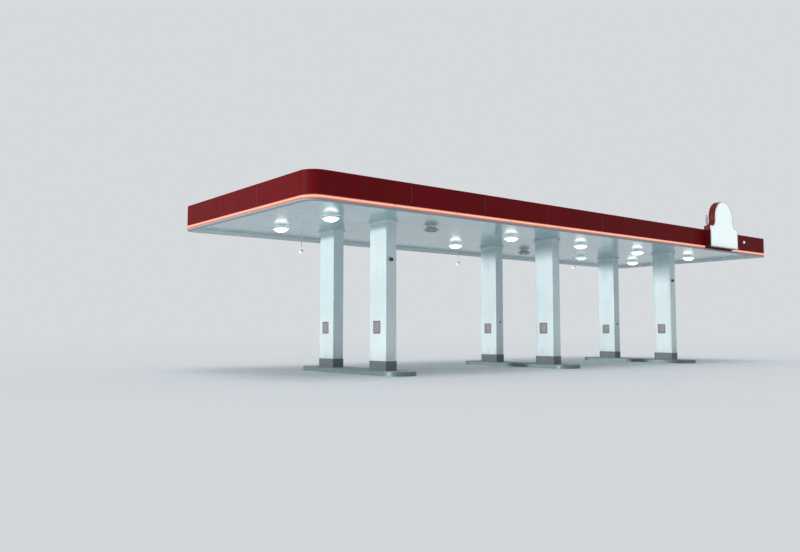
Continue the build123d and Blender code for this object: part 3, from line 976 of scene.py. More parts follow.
def cloud(name: str, seats: Iterable[Seat]) -> Mesh:
    """Make loose points that carry the ways their fasteners face.

    Args:
        name: The mesh's name.
        seats: Where the fasteners sit.

    Returns:
        The mesh of points.
    """
    seats = list(seats)
    mesh = bpy.data.meshes.new(name)
    mesh.from_pydata([seat.at for seat in seats], [], [])
    for label in ("facing", "along"):
        layer = mesh.attributes.new(label, "FLOAT_VECTOR", "POINT")
        layer.data.foreach_set("vector", [part for seat in seats for part in getattr(seat, label)])
    return mesh


def fasten(name: str, head: Head, seats: Iterable[Seat], finish: Finish, slot: str,
           turn: float = tau) -> None:
    """Set a row of fasteners.

    Args:
        name: The piece's name.
        head: Which fastener, and its size.
        seats: Where they sit.
        finish: Their finish.
        slot: The record's material slot.
        turn: How far each may be turned about its own axis, in radians.
    """
    mesh = FastenerTree(head.kind).run(cloud(name, seats), width=head.width, height=head.height, turn=turn,
                                       material=finish.material())
    deliver(name, mesh, finish, slot)


def repeat(name: str, model: Mesh, places: Iterable[Point], finish: Finish, slot: str,
           *replaced: str) -> None:
    """Deliver copies of a mesh as one piece.

    Args:
        name: The piece's name.
        model: The mesh, round the origin.
        places: Where its origin goes.
        finish: What the copies are made of.
        slot: The record's material slot.
        replaced: CAD nodes that they stand for.
    """
    template = in_scene("template", model)
    points = cloud("places", [Seat(place, UP) for place in places])
    mesh = RepeatTree().run(points, model=template, material=finish.material())
    bpy.data.objects.remove(template)
    deliver(name, mesh, finish, slot, *replaced)


# The canopy's plan

@dataclass(frozen=True)
class Plan:
    """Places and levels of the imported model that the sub-assemblies share."""

    half_length: float
    half_width: float
    corner: float
    soffit: float
    deck: float
    steel: float
    fascia_top: float
    island_xs: Row
    column_ys: Row
    column_half_x: float
    column_half_y: float
    pans_per_bay: int = 19

    @property
    def pan_pitch(self) -> float:
        """Return the distance between the pans' standing legs."""
        return (self.island_xs[1] - self.island_xs[0]) / self.pans_per_bay

    @classmethod
    def from_frame(cls) -> "Plan":
        """Read the plan from the boxes of the CAD nodes.

        Returns:
            The plan.
        """
        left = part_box("fascia_left")
        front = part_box("fascia_front")
        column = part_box("column_left_front")
        half_length, half_width = -left[0].x, -front[0].y
        return cls(
            half_length=half_length,
            half_width=half_width,
            corner=half_length + front[0].x,
            soffit=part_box("soffit_trim")[0].z,
            deck=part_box("deck_left_bay")[0].z,
            steel=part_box("main_beam_left")[0].z,
            fascia_top=front[1].z,
            island_xs=tuple(sum(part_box(f"island_{name}"), Vector()).x / 2 for name in ISLANDS),
            column_ys=tuple(sum(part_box(f"column_left_{row}"), Vector()).y / 2 for row in ("front", "back")),
            column_half_x=(column[1].x - column[0].x) / 2,
            column_half_y=(column[1].y - column[0].y) / 2,
        )

    def columns(self) -> Iterator[Flat]:
        """Yield the middle of each column."""
        yield from product(self.island_xs, self.column_ys)

    def straight_sides(self) -> Iterator[tuple[Vector, Vector, Vector]]:
        """Yield start, end and outward direction of each straight side, with the outside on the right."""
        x, y = self.half_length, self.half_width
        jx, jy = x - self.corner, y - self.corner
        yield Vector((-jx, -y, 0)), Vector((jx, -y, 0)), Vector((0, -1, 0))
        yield Vector((x, -jy, 0)), Vector((x, jy, 0)), Vector((1, 0, 0))
        yield Vector((jx, y, 0)), Vector((-jx, y, 0)), Vector((0, 1, 0))
        yield Vector((-x, jy, 0)), Vector((-x, -jy, 0)), Vector((-1, 0, 0))

    def corners(self) -> Iterator[tuple[Flat, float]]:
        """Yield the centre of each rounded corner and the angle at which its arc starts."""
        jx, jy = self.half_length - self.corner, self.half_width - self.corner
        yield (jx, -jy), -pi / 2
        yield (jx, jy), 0.0
        yield (-jx, jy), pi / 2
        yield (-jx, -jy), pi


# Sub-assemblies

@dataclass
class Islands:
    """Concrete islands in steel kerb forms, with weld beads where the round ends start."""

    plan: Plan
    bead_half_width: float = 0.005
    bead_proud: float = 0.0016
    bead_ripple: float = 0.006
    bead_foot: float = 0.004
    bead_clear: float = 0.01
    sealant_width: float = 0.007
    sealant_height: float = 0.0015
    sealant_lap: float = 0.001
    sealant_points: int = 64

    def build(self) -> None:
        """Dress the islands and add their small parts."""
        paint(CONCRETE, *(f"island_{name}" for name in ISLANDS))
        paint(KERB_STEEL, *nodes_called("island_kerb_"))
        self.weld_beads()
        self.edge_sealant()

    @staticmethod
    def oblong(name: str) -> tuple[Vector, float, float, float]:
        """Measure a node with round ends.

        Args:
            name: The CAD node.

        Returns:
            Its middle, half its width, half its straight length and its top.
        """
        low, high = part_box(name)
        half_width = (high.x - low.x) / 2
        return (low + high) / 2, half_width, (high.y - low.y) / 2 - half_width, high.z

    def weld_beads(self) -> None:
        """Run a rippled bead up the kerb at each of its four joints."""
        shell = Shell()
        for name in nodes_called("island_kerb_"):
            middle, half_width, straight, top = self.oblong(name)
            for side, end in CORNERS:
                foot = (middle.x + side * half_width, middle.y + end * straight, self.bead_foot)
                self.bead(shell, foot, side, top - self.bead_clear)
        shell.deliver("kerb_weld_beads", KERB_STEEL, "kerb_steel")

    def bead(self, shell: Shell, foot: Point, side: int, top: float) -> None:
        """Loft one bead up the kerb.

        Args:
            shell: Where it is built.
            foot: The bead's foot.
            side: 1 on the kerb's right side, -1 on its left.
            top: The level of its top.
        """
        x, y, start = foot
        rings = []
        for i, z in enumerate(steps(start, top, self.bead_ripple / 2)):
            swell = 1.0 if i % 2 else 0.8
            out, half_width = side * self.bead_proud * swell, self.bead_half_width * swell
            rings.append([(x + out * sin(pi * n / 4), y - half_width * cos(pi * n / 4), z) for n in range(5)])
        shell.loft(rings)

    def edge_sealant(self) -> None:
        """Lay a thin line of sealant between the concrete and its kerb."""
        shell = Shell()
        angles = [tau * (i + 0.5) / self.sealant_points for i in range(self.sealant_points)]
        section = [(self.sealant_lap, 0.0), (self.sealant_lap, self.sealant_height),
                   (-self.sealant_width / 2, self.sealant_height * 1.3), (-self.sealant_width, 0.0)]
        for name in ISLANDS:
            middle, half_width, straight, top = self.oblong(f"island_{name}")
            shell.loft([[(middle.x + cos(a) * (half_width + out),
                          middle.y + sin(a) * (half_width + out) + copysign(straight, sin(a)),
                          top + up) for a in angles] for out, up in section], closed=True)
        shell.deliver("island_edge_sealant", SEALANT, "concrete")


@dataclass
class Columns:
    """Boxed columns on steel posts, with rivets, skirts, plates and small wall fittings."""

    plan: Plan
    rivet: Head = Head(Fastener.POP_RIVET, 0.011, 0.0035)
    rivet_offset: float = 0.022
    rivet_pitch: float = 0.34
    rivet_margin: float = 0.12
    strip_half_width: float = 0.0037
    strip_depths: Flat = (0.0008, 0.0019)
    strip_end_gap: float = 0.001
    trim_screw: Head = Head(Fastener.PAN_SCREW, 0.012, 0.0035)
    skirt_screw_inset: float = 0.05
    collar_screw_drop: float = 0.022
    wide_face_screws: Row = (-0.34, 0.0, 0.34)
    narrow_face_screws: Row = (-0.13, 0.13)
    plate_width: float = 0.37
    plate_height: float = 0.40
    plate_corner: float = 0.018
    plate_sheet: float = 0.003
    plate_shift: float = 0.05
    plate_level: float = 1.45
    plate_screw: Head = Head(Fastener.PAN_SCREW, 0.010, 0.003)
    plate_screw_inset: float = 0.023
    border_width: float = 0.03
    border_inset: float = 0.008
    border_sheet: float = 0.0012
    border_bevel: float = 0.0003
    button_level: float = 1.69
    button_shift: float = 0.02
    button_depth: float = 0.019
    speaker_level: float = 3.52
    speaker_shift: float = -0.03
    slat_reach: float = 0.032
    slat_pitch: float = 0.0107
    slat_half_width: float = 0.052
    slat_half_height: float = 0.0022
    slat_depths: Flat = (0.0555, 0.0525)
    outlet_level: float = 2.71
    outlet_shift: float = -0.04

    def build(self) -> None:
        """Dress the columns and add their fittings."""
        for name in ISLANDS:
            paint(CLADDING, *nodes_called(f"column_{name}_"))
        paint(SKIRT, "column_skirts")
        paint(COLLAR, "column_collars")
        paint(POST_STEEL, *nodes_called("posts_"))
        self.skirt_low, self.skirt_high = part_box("column_skirts")
        self.collar_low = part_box("column_collars")[0]
        self.joint_rivets()
        self.joint_sealant()
        self.skirt_sealant()
        self.trim_screws()
        self.plates()
        self.buttons()
        self.speakers()
        self.outlet()

    def joint_rivets(self) -> None:
        """Rivet the cladding on both sides of the joint down each wide face."""
        levels = steps(self.skirt_high.z + self.rivet_margin, self.collar_low.z - self.rivet_margin,
                       self.rivet_pitch)
        clear = self.plate_height / 2 + self.rivet.width
        seats = [Seat.facing_x((x + side * self.plan.column_half_x, y + offset, z), side)
                 for x, y in self.plan.columns() for side in SIDES
                 for offset in (-self.rivet_offset, self.rivet_offset) for z in levels
                 if side > 0 or abs(z - self.plate_level) > clear]
        fasten("column_rivets", self.rivet, seats, CLADDING, "column_sheet")

    def joint_sealant(self) -> None:
        """Lay the strip at the bottom of the joint down each wide face."""
        shell = Shell()
        foot, top = self.skirt_high.z + self.strip_end_gap, self.collar_low.z - self.strip_end_gap
        for (x, y), side in product(self.plan.columns(), SIDES):
            left, right = sorted(x + side * (self.plan.column_half_x - depth) for depth in self.strip_depths)
            shell.block((left, y - self.strip_half_width, foot), (right, y + self.strip_half_width, top))
        shell.deliver("column_joint_sealant", PALE_SEALANT, "column_sheet")

    def skirt_sealant(self) -> None:
        """Run a bead round each column along the top of its skirt."""
        shell = Shell()
        section = [(0.0, 0.0), (0.003, 0.0), (0.0022, 0.003), (0.0004, 0.0055), (0.0, 0.006)]
        half_x, half_y = self.plan.column_half_x, self.plan.column_half_y
        for x, y in self.plan.columns():
            shell.loft([[(x + a * (half_x + out), y + b * (half_y + out), self.skirt_high.z + up)
                         for a, b in ((-1, -1), (1, -1), (1, 1), (-1, 1))] for out, up in section],
                       closed=True)
        shell.deliver("skirt_sealant", SKIRT_SEALANT, "skirt_sheet")

    def trim_halves(self, low: Vector) -> Flat:
        """Return half the width and depth of the trim round a column, from its nodes' low corner."""
        return self.plan.island_xs[0] - low.x, self.plan.column_ys[0] - low.y

    def trim_screws(self) -> None:
        """Screw the skirts and the collars to the columns."""
        skirt, collar = self.trim_halves(self.skirt_low), self.trim_halves(self.collar_low)
        rows = [(*skirt, self.skirt_low.z + self.skirt_screw_inset),
                (*skirt, self.skirt_high.z - self.skirt_screw_inset),
                (*collar, self.plan.deck - self.collar_screw_drop)]
        seats = []
        for (x, y), (half_x, half_y, z), side in product(self.plan.columns(), rows, SIDES):
            seats += [Seat.facing_x((x + side * half_x, y + off, z), side) for off in self.wide_face_screws]
            seats += [Seat.facing_y((x + off, y + side * half_y, z), side) for off in self.narrow_face_screws]
        fasten("skirt_and_collar_screws", self.trim_screw, seats, STAINLESS, "skirt_sheet")

    def plates(self) -> None:
        """Hang a bare plate with a plain border on the outer wide face of each column."""
        plates, borders, seats = Shell(), Shell(), []
        half_y, half_z = self.plate_width / 2, self.plate_height / 2
        outline = rounded_rectangle(half_y, half_z, self.plate_corner)
        tiers = ((0.0, 0.0), (self.plate_sheet - 0.0006, 0.0), (self.plate_sheet, 0.0008))
        for x, y in self.plan.columns():
            face, middle = x - self.plan.column_half_x, y + self.plate_shift
            plates.loft([[(face - HAIR - out, middle + a * (1 - inset / half_y),
                           self.plate_level + b * (1 - inset / half_z)) for a, b in outline]
                         for out, inset in tiers])
            self.border(borders, face - self.plate_sheet, middle)
            seats += [Seat.facing_x((face - self.plate_sheet - self.border_sheet + 0.0001,
                                     middle + a * (half_y - self.plate_screw_inset),
                                     self.plate_level + b * (half_z - self.plate_screw_inset)), -1)
                      for a, b in CORNERS]
        plates.deliver("column_plates", PLATE, "column_sheet")
        borders.deliver("column_plate_borders", PLATE_BORDER, "column_sheet")
        fasten("column_plate_screws", self.plate_screw, seats, STAINLESS, "column_sheet")

    def border(self, shell: Shell, face: float, middle: float) -> None:
        """Lay four strips round one plate, just inside its edge.

        Args:
            shell: Where the strips are built.
            face: The plate's outer face, along X.
            middle: The plate's middle, along Y.
        """
        reach_y, reach_z = self.plate_width / 2 - self.border_inset, self.plate_height / 2 - self.border_inset
        out, strip, level = face - self.border_sheet, self.border_width, self.plate_level
        upright = reach_z - strip - HAIR
        for y, z in ((reach_y - strip, reach_z - strip), (-reach_y, -reach_z)):
            shell.block((out, middle - reach_y, level + z), (face, middle + reach_y, level + z + strip),
                        self.border_bevel)
            shell.block((out, middle + y, level - upright), (face, middle + y + strip, level + upright),
                        self.border_bevel)

    def buttons(self) -> None:
        """Set a small push button on the front face of two back columns."""
        bodies, caps = Shell(), Shell()
        face = self.plan.column_ys[1] - self.plan.column_half_y
        outline = rounded_rectangle(0.024, 0.034, 0.006)
        tiers = ((HAIR, 1.0), (self.button_depth - 0.003, 1.0), (self.button_depth, 0.93))
        cap = [(0.007, 0.0), (0.007, 0.004), (0.0145, 0.005), (0.0145, 0.010), (0.011, 0.0125),
               (0.004, 0.0135)]
        for x in self.plan.island_xs[1:]:
            middle = x + self.button_shift
            bodies.pad((middle, face, self.button_level), FRONT, outline, tiers)
            caps.turn(cap, (middle, face - self.button_depth, self.button_level), FRONT, 20)
        bodies.deliver("call_button_boxes", DARK_PLASTIC, "column_sheet")
        caps.deliver("call_button_caps", BUTTON_RED, "column_sheet")

    def speakers(self) -> None:
        """Set a small louvred speaker high on the front face of two front columns."""
        shell = Shell()
        face = self.plan.column_ys[0] - self.plan.column_half_y
        outline = rounded_rectangle(0.07, 0.05, 0.012)
        tiers = ((HAIR, 0.9), (0.006, 0.9), (0.008, 1.0), (0.050, 1.0), (0.056, 0.94), (0.056, 0.84),
                 (0.052, 0.82))
        near, far = (face - depth for depth in self.slat_depths)
        for x in (self.plan.island_xs[0], self.plan.island_xs[-1]):
            middle = x + self.speaker_shift
            shell.pad((middle, face, self.speaker_level), FRONT, outline, tiers)
            for shift in steps(-self.slat_reach, self.slat_reach, self.slat_pitch):
                level = self.speaker_level + shift
                shell.block((middle - self.slat_half_width, near, level - self.slat_half_height),
                            (middle + self.slat_half_width, far, level + self.slat_half_height), 0.0008)
        shell.deliver("column_speakers", DARK_PLASTIC, "column_sheet")

    def outlet(self) -> None:
        """Set a blank outlet box on the front face of the last front column."""
        shell = Shell()
        face = self.plan.column_ys[0] - self.plan.column_half_y
        shell.pad((self.plan.island_xs[-1] + self.outlet_shift, face, self.outlet_level), FRONT,
                  rounded_rectangle(0.045, 0.045, 0.008), ((HAIR, 1.0), (0.012, 1.0), (0.015, 0.95)))
        shell.deliver("column_outlet", TRAY_WHITE, "column_sheet")


@dataclass
class Steelwork:
    """Posts, beams, purlins and edge channels with their bolts."""

    plan: Plan
    bolt: Head = Head(Fastener.HEX_BOLT, 0.030, 0.013)
    cap_bolt_place: Flat = (0.055, 0.075)
    beam_flange: float = 0.010
    fin_bolt_rows: Row = (-0.045, 0.045)
    fin_bolt_inset: float = 0.045
    fin_faces: tuple[Flat, ...] = ((0.013, 1.0), (-0.003, -1.0))
    channel_bolt_rows: Row = (-0.06, 0.06)
    beam_end_bolts: Row = (-0.055, 0.055)
    purlin_end_bolts: Row = (-0.03, 0.03)
    channel_web: float = 0.010
    nut: Head = Head(Fastener.ANCHOR_NUT, 0.036, 0.055)
    nut_place: Flat = (0.145, 0.19)
    base_plate: float = 0.025

    def build(self) -> None:
        """Dress the steel and bolt it together."""
        paint(BEAM_STEEL, *nodes_called("main_beam_"))
        paint(PURLIN_STEEL, *nodes_called("purlins_"))
        paint(CHANNEL_STEEL, "edge_channels")
        self.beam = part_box("main_beam_middle")
        self.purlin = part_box("purlins_left_bay")
        seats = [*self.cap_bolts(), *self.fin_bolts(), *self.channel_bolts()]
        fasten("steelwork_bolts", self.bolt, seats, ZINC, "frame_steel")
        fasten("base_anchor_nuts", self.nut, self.anchors(), ZINC, "frame_steel")

    def purlin_ys(self) -> list[float]:
        """Return the lines of the purlins."""
        half = (self.beam[1].y - self.beam[0].y) / 2
        return [-half / 2, 0.0, half / 2]

    def round_posts(self, place: Flat, level: float) -> Iterator[Seat]:
        """Yield four upward seats round each post, at a place off its middle and a level."""
        for (x, y), (a, b) in product(self.plan.columns(), CORNERS):
            yield Seat((x + a * place[0], y + b * place[1], level), UP)

    def cap_bolts(self) -> Iterator[Seat]:
        """Return the bolts through the beams' lower flanges into the posts' cap plates."""
        return self.round_posts(self.cap_bolt_place, self.plan.steel + self.beam_flange)

    def fin_bolts(self) -> Iterator[Seat]:
        """Yield the bolts where purlins are held to the beams' fin plates."""
        level = (self.purlin[0].z + self.purlin[1].z) / 2
        half_flange = (self.beam[1].x - self.beam[0].x) / 2
        for x, y, side, row in product(self.plan.island_xs, self.purlin_ys(), SIDES, self.fin_bolt_rows):
            at = x + side * (half_flange - self.fin_bolt_inset)
            for off, way in self.fin_faces:
                yield Seat.facing_y((at, y + off, level + row), way)

    def channel_bolts(self) -> Iterator[Seat]:
        """Yield the bolts through the edge channels into the end plates of beams and purlins."""
        low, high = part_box("edge_channels")
        beam_end = self.beam[1].y + self.channel_web
        purlin_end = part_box("purlins_right_end")[1].x + self.channel_web
        middle = (low.z + high.z) / 2
        for side, row in product(SIDES, self.channel_bolt_rows):
            for x, shift in product(self.plan.island_xs, self.beam_end_bolts):
                yield Seat.facing_y((x + shift, side * beam_end, middle + row), side)
            for y, shift in product(self.purlin_ys(), self.purlin_end_bolts):
                yield Seat.facing_x((side * purlin_end, y + shift, middle + row), side)

    def anchors(self) -> Iterator[Seat]:
        """Return the anchor nuts on the posts' base plates."""
        return self.round_posts(self.nut_place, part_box("posts_middle")[0].z + self.base_plate)


@dataclass
class Deck:
    """The deck of pans, its clips to the steel and its edge trim."""

    plan: Plan
    clip: Head = Head(Fastener.FLANGE_CLIP, 0.034, 0.024)
    clip_off_flange: float = 0.012
    clip_sunk: float = 0.0005
    purlin_half_flange: float = 0.051
    end_without_seam: float = 0.4
    screw: Head = Head(Fastener.PAN_SCREW, 0.011, 0.003)
    screw_pitch: float = 0.62
    screw_margin: float = 0.1
    screw_inset: float = 0.09

    def build(self) -> None:
        """Dress the deck and clip it to the steel."""
        paint(SOFFIT_IN_PAINTED_SHADE, *nodes_called("deck_"))
        paint(TRIM, "soffit_trim")
        fasten("deck_clips", self.clip, self.clips(), ZINC, "deck_sheet", turn=0.0)
        fasten("trim_screws", self.screw, self.trim_screws(), STAINLESS, "trim_sheet")

    def seams(self) -> Iterator[float]:
        """Yield where the standing legs of the pans run."""
        reach = int((self.plan.half_length - self.end_without_seam) / self.plan.pan_pitch)
        for n in range(-reach, reach + 1):
            if n % self.plan.pans_per_bay:
                yield n * self.plan.pan_pitch

    def clips(self) -> Iterator[Seat]:
        """Yield a clip on both edges of each purlin's lower flange at every leg."""
        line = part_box("purlins_left_bay")[1].y - self.purlin_half_flange
        off = self.purlin_half_flange + self.clip_off_flange
        for x, y, side in product(self.seams(), (-line, 0.0, line), SIDES):
            yield Seat((x, y + side * off, self.plan.steel - self.clip_sunk), UP, (side, 0.0, 0.0))

    def trim_screws(self) -> Iterator[Seat]:
        """Yield screws along the underside of the soffit trim."""
        for start, stop, out in self.plan.straight_sides():
            for place in spread(start, stop, self.screw_margin, self.screw_pitch):
                place -= out * self.screw_inset
                yield Seat((place.x, place.y, self.plan.soffit), DOWN)


@dataclass
class Fascia:
    """Folded fascia panels with rivets, joint sealant and coping covers, on a zinc frame."""

    plan: Plan
    panels_long: int = 8
    panels_short: int = 3
    rivet: Head = Head(Fastener.POP_RIVET, 0.011, 0.0032)
    rivet_pitch: float = 0.40
    rivet_margin: float = 0.08
    rivet_above_foot: float = 0.03
    rivet_below_top: float = 0.035
    sign_clearance: float = 0.02
    sealant_half_width: float = 0.0048
    sealant_depths: Flat = (0.0008, 0.0029)
    cap_depth: float = 0.07
    cover_width: float = 0.10
    cover_sheet: float = 0.0015
    cover_front_leg: float = 0.022
    cover_back_leg: float = 0.03

    def build(self) -> None:
        """Dress the fascia and add its small parts."""
        paint(FASCIA_RED, *(f"fascia_{side}" for side in ("front", "back", "left", "right", "corners")))
        paint(FRAME_STEEL, "fascia_frame")
        self.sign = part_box("sign_cabinet")
        self.band_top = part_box("light_band")[1].z
        self.rivets()
        self.sealant()
        self.covers()

    def by_sign(self, place: Vector, out: Vector, clearance: float = 0.0) -> bool:
        """Tell whether a place on the face lies behind the sign or within a clearance of it."""
        return out.y < 0 and self.sign[0].x - clearance < place.x < self.sign[1].x + clearance

    def joints(self) -> Iterator[tuple[Vector, Vector, Vector]]:
        """Yield the place, the run and the outward direction of every joint between panels."""
        for start, stop, out in self.plan.straight_sides():
            panels = self.panels_long if out.x == 0 else self.panels_short
            for i in range(1, panels):
                yield start.lerp(stop, i / panels), (stop - start).normalized(), out

    def rivets(self) -> None:
        """Rivet the panels along their top and foot."""
        foot = max(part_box("fascia_front")[0].z, self.band_top)
        levels = (foot + self.rivet_above_foot, self.plan.fascia_top - self.rivet_below_top)
        seats = []
        for start, stop, out in self.plan.straight_sides():
            run = (stop - start).normalized()
            for place in spread(start, stop, self.rivet_margin, self.rivet_pitch):
                if not self.by_sign(place, out, self.sign_clearance):
                    seats += [Seat((place.x, place.y, level), tuple(out), tuple(run)) for level in levels]
        fasten("fascia_rivets", self.rivet, seats, FASCIA_RED, "fascia_sheet")

    def sealant(self) -> None:
        """Fill the joints between panels to just under the face."""
        shell = Shell()
        foot, top = self.band_top + 0.004, self.plan.fascia_top - 0.0005
        for place, run, out in self.joints():
            corners = [place - out * depth + run * shift for depth in self.sealant_depths
                       for shift in (self.sealant_half_width, -self.sealant_half_width)]
            xs, ys = [corner.x for corner in corners], [corner.y for corner in corners]
            shell.block((min(xs), min(ys), foot), (max(xs), max(ys), top))
        shell.deliver("fascia_joint_sealant", SEALANT, "fascia_sheet")

    def covers(self) -> None:
        """Cover the joints in the coping with thin folded plates."""
        shell = Shell()
        sheet, inner = self.cover_sheet, -self.cap_depth - HAIR
        outer = -self.cap_depth - sheet
        section = [(sheet, -self.cover_front_leg), (sheet, sheet), (outer, sheet),
                   (outer, -self.cover_back_leg), (inner, -self.cover_back_leg), (inner, HAIR), (HAIR, HAIR)]
        for place, run, out in self.joints():
            if not self.by_sign(place, out):
                shell.loft([[place + run * end + out * a + Vector((0, 0, self.plan.fascia_top + b))
                             for a, b in section] for end in (-self.cover_width / 2, self.cover_width / 2)])
        shell.deliver("coping_covers", FASCIA_RED, "fascia_sheet")


@dataclass
class LightBand:
    """A lit half-round lens in an aluminium channel round the fascia, in lengths with joint straps."""

    plan: Plan
    piece_length: float = 2.4
    gap: float = 0.004
    base_height: float = 0.100
    base_reach: float = 0.012
    lens_height: float = 0.090
    lens_off_base: float = 0.003
    lens_short: float = 0.0035
    strap_height: float = 0.098
    strap_width: float = 0.022
    strap_short: float = 0.002
    arc_steps: int = 14

    def build(self) -> None:
        """Sweep the band's channel, lens and straps."""
        low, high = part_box("light_band")
        self.level = (low.z + high.z) / 2
        reach = -self.plan.half_width - low.y
        runs = list(self.runs())
        tree = StripTree()
        metal = DOOR_ALUMINIUM.material()
        channel = tree.run(self.paths("band_channel", runs), height=self.base_height, reach=self.base_reach,
                           stand_off=HAIR, facets=4, material=metal)
        deliver("band_channel", flat_shaded(channel), DOOR_ALUMINIUM, "trim_sheet")
        lit = LitBand("band_glow", (0.72, 0.055, 0.035), core=(1.0, 0.56, 0.36), level=self.level,
                      half_height=self.lens_height / 2)
        lens = tree.run(self.paths("band_lens", runs), height=self.lens_height, reach=reach - self.lens_short,
                        stand_off=self.lens_off_base, facets=13, material=lit.material())
        deliver("band_lens", lens, lit, "band_lens", "light_band")
        straps = tree.run(self.paths("band_straps", self.straps(runs)), height=self.strap_height, facets=9,
                          reach=reach - self.strap_short, stand_off=self.strap_short, material=metal)
        deliver("band_straps", flat_shaded(straps), DOOR_ALUMINIUM, "trim_sheet")

    def runs(self) -> Iterator[list[Vector]]:
        """Yield the path of each length of band, with the outside on its right."""
        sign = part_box("sign_cabinet")
        for start, stop, out in self.plan.straight_sides():
            pieces = [(start, stop)]
            if out.y < 0:
                left, right = start.copy(), stop.copy()
                left.x, right.x = sign[0].x - self.gap, sign[1].x + self.gap
                pieces = [(start, left), (right, stop)]
            for first, last in pieces:
                cuts = steps(0.0, (last - first).length, self.piece_length)
                run = (last - first).normalized()
                for a, b in zip(cuts, cuts[1:]):
                    yield [first + run * (a + self.gap / 2), first + run * (b - self.gap / 2)]
        radius = self.plan.corner
        for (x, y), start in self.plan.corners():
            angles = [start + pi / 2 * i / self.arc_steps for i in range(self.arc_steps + 1)]
            yield [Vector((x + radius * cos(a), y + radius * sin(a), 0)) for a in angles]

    def straps(self, runs: Sequence[Sequence[Vector]]) -> Iterator[list[Vector]]:
        """Place the straps at both ends of each straight length.

        Args:
            runs: The points of each length.

        Yields:
            A short path for each strap.
        """
        for start, stop in (run for run in runs if len(run) == 2):
            along = (stop - start).normalized() * self.strap_width
            yield [start, start + along]
            yield [stop - along, stop]

    def paths(self, name: str, runs: Iterable[Sequence[Vector]]) -> Mesh:
        """Make the paths that the strips follow.

        Args:
            name: The mesh's name.
            runs: The points of each path.

        Returns:
            All the paths as edges, at the band's level.
        """
        points, edges = [], []
        for run in runs:
            edges += [(len(points) + i, len(points) + i + 1) for i in range(len(run) - 1)]
            points += [(p.x, p.y, self.level) for p in run]
        mesh = bpy.data.meshes.new(name)
        mesh.from_pydata(points, edges, [])
        return mesh


def flat_shaded(mesh: Mesh) -> Mesh:
    """Return the mesh with flat faces."""
    mesh.shade_flat()
    return mesh


class LampState(Enum):
    """How a luminaire burns: the strength of its glow, its colour and the colour of its edge."""

    LIT = (4.2, (1.0, 1.0, 0.98), (0.19, 0.225, 0.23))
    DIM = (0.75, (0.86, 0.93, 0.92), (0.60, 0.74, 0.76))
    DARK = (0.0, (0.33, 0.385, 0.40), (0.42, 0.48, 0.49))


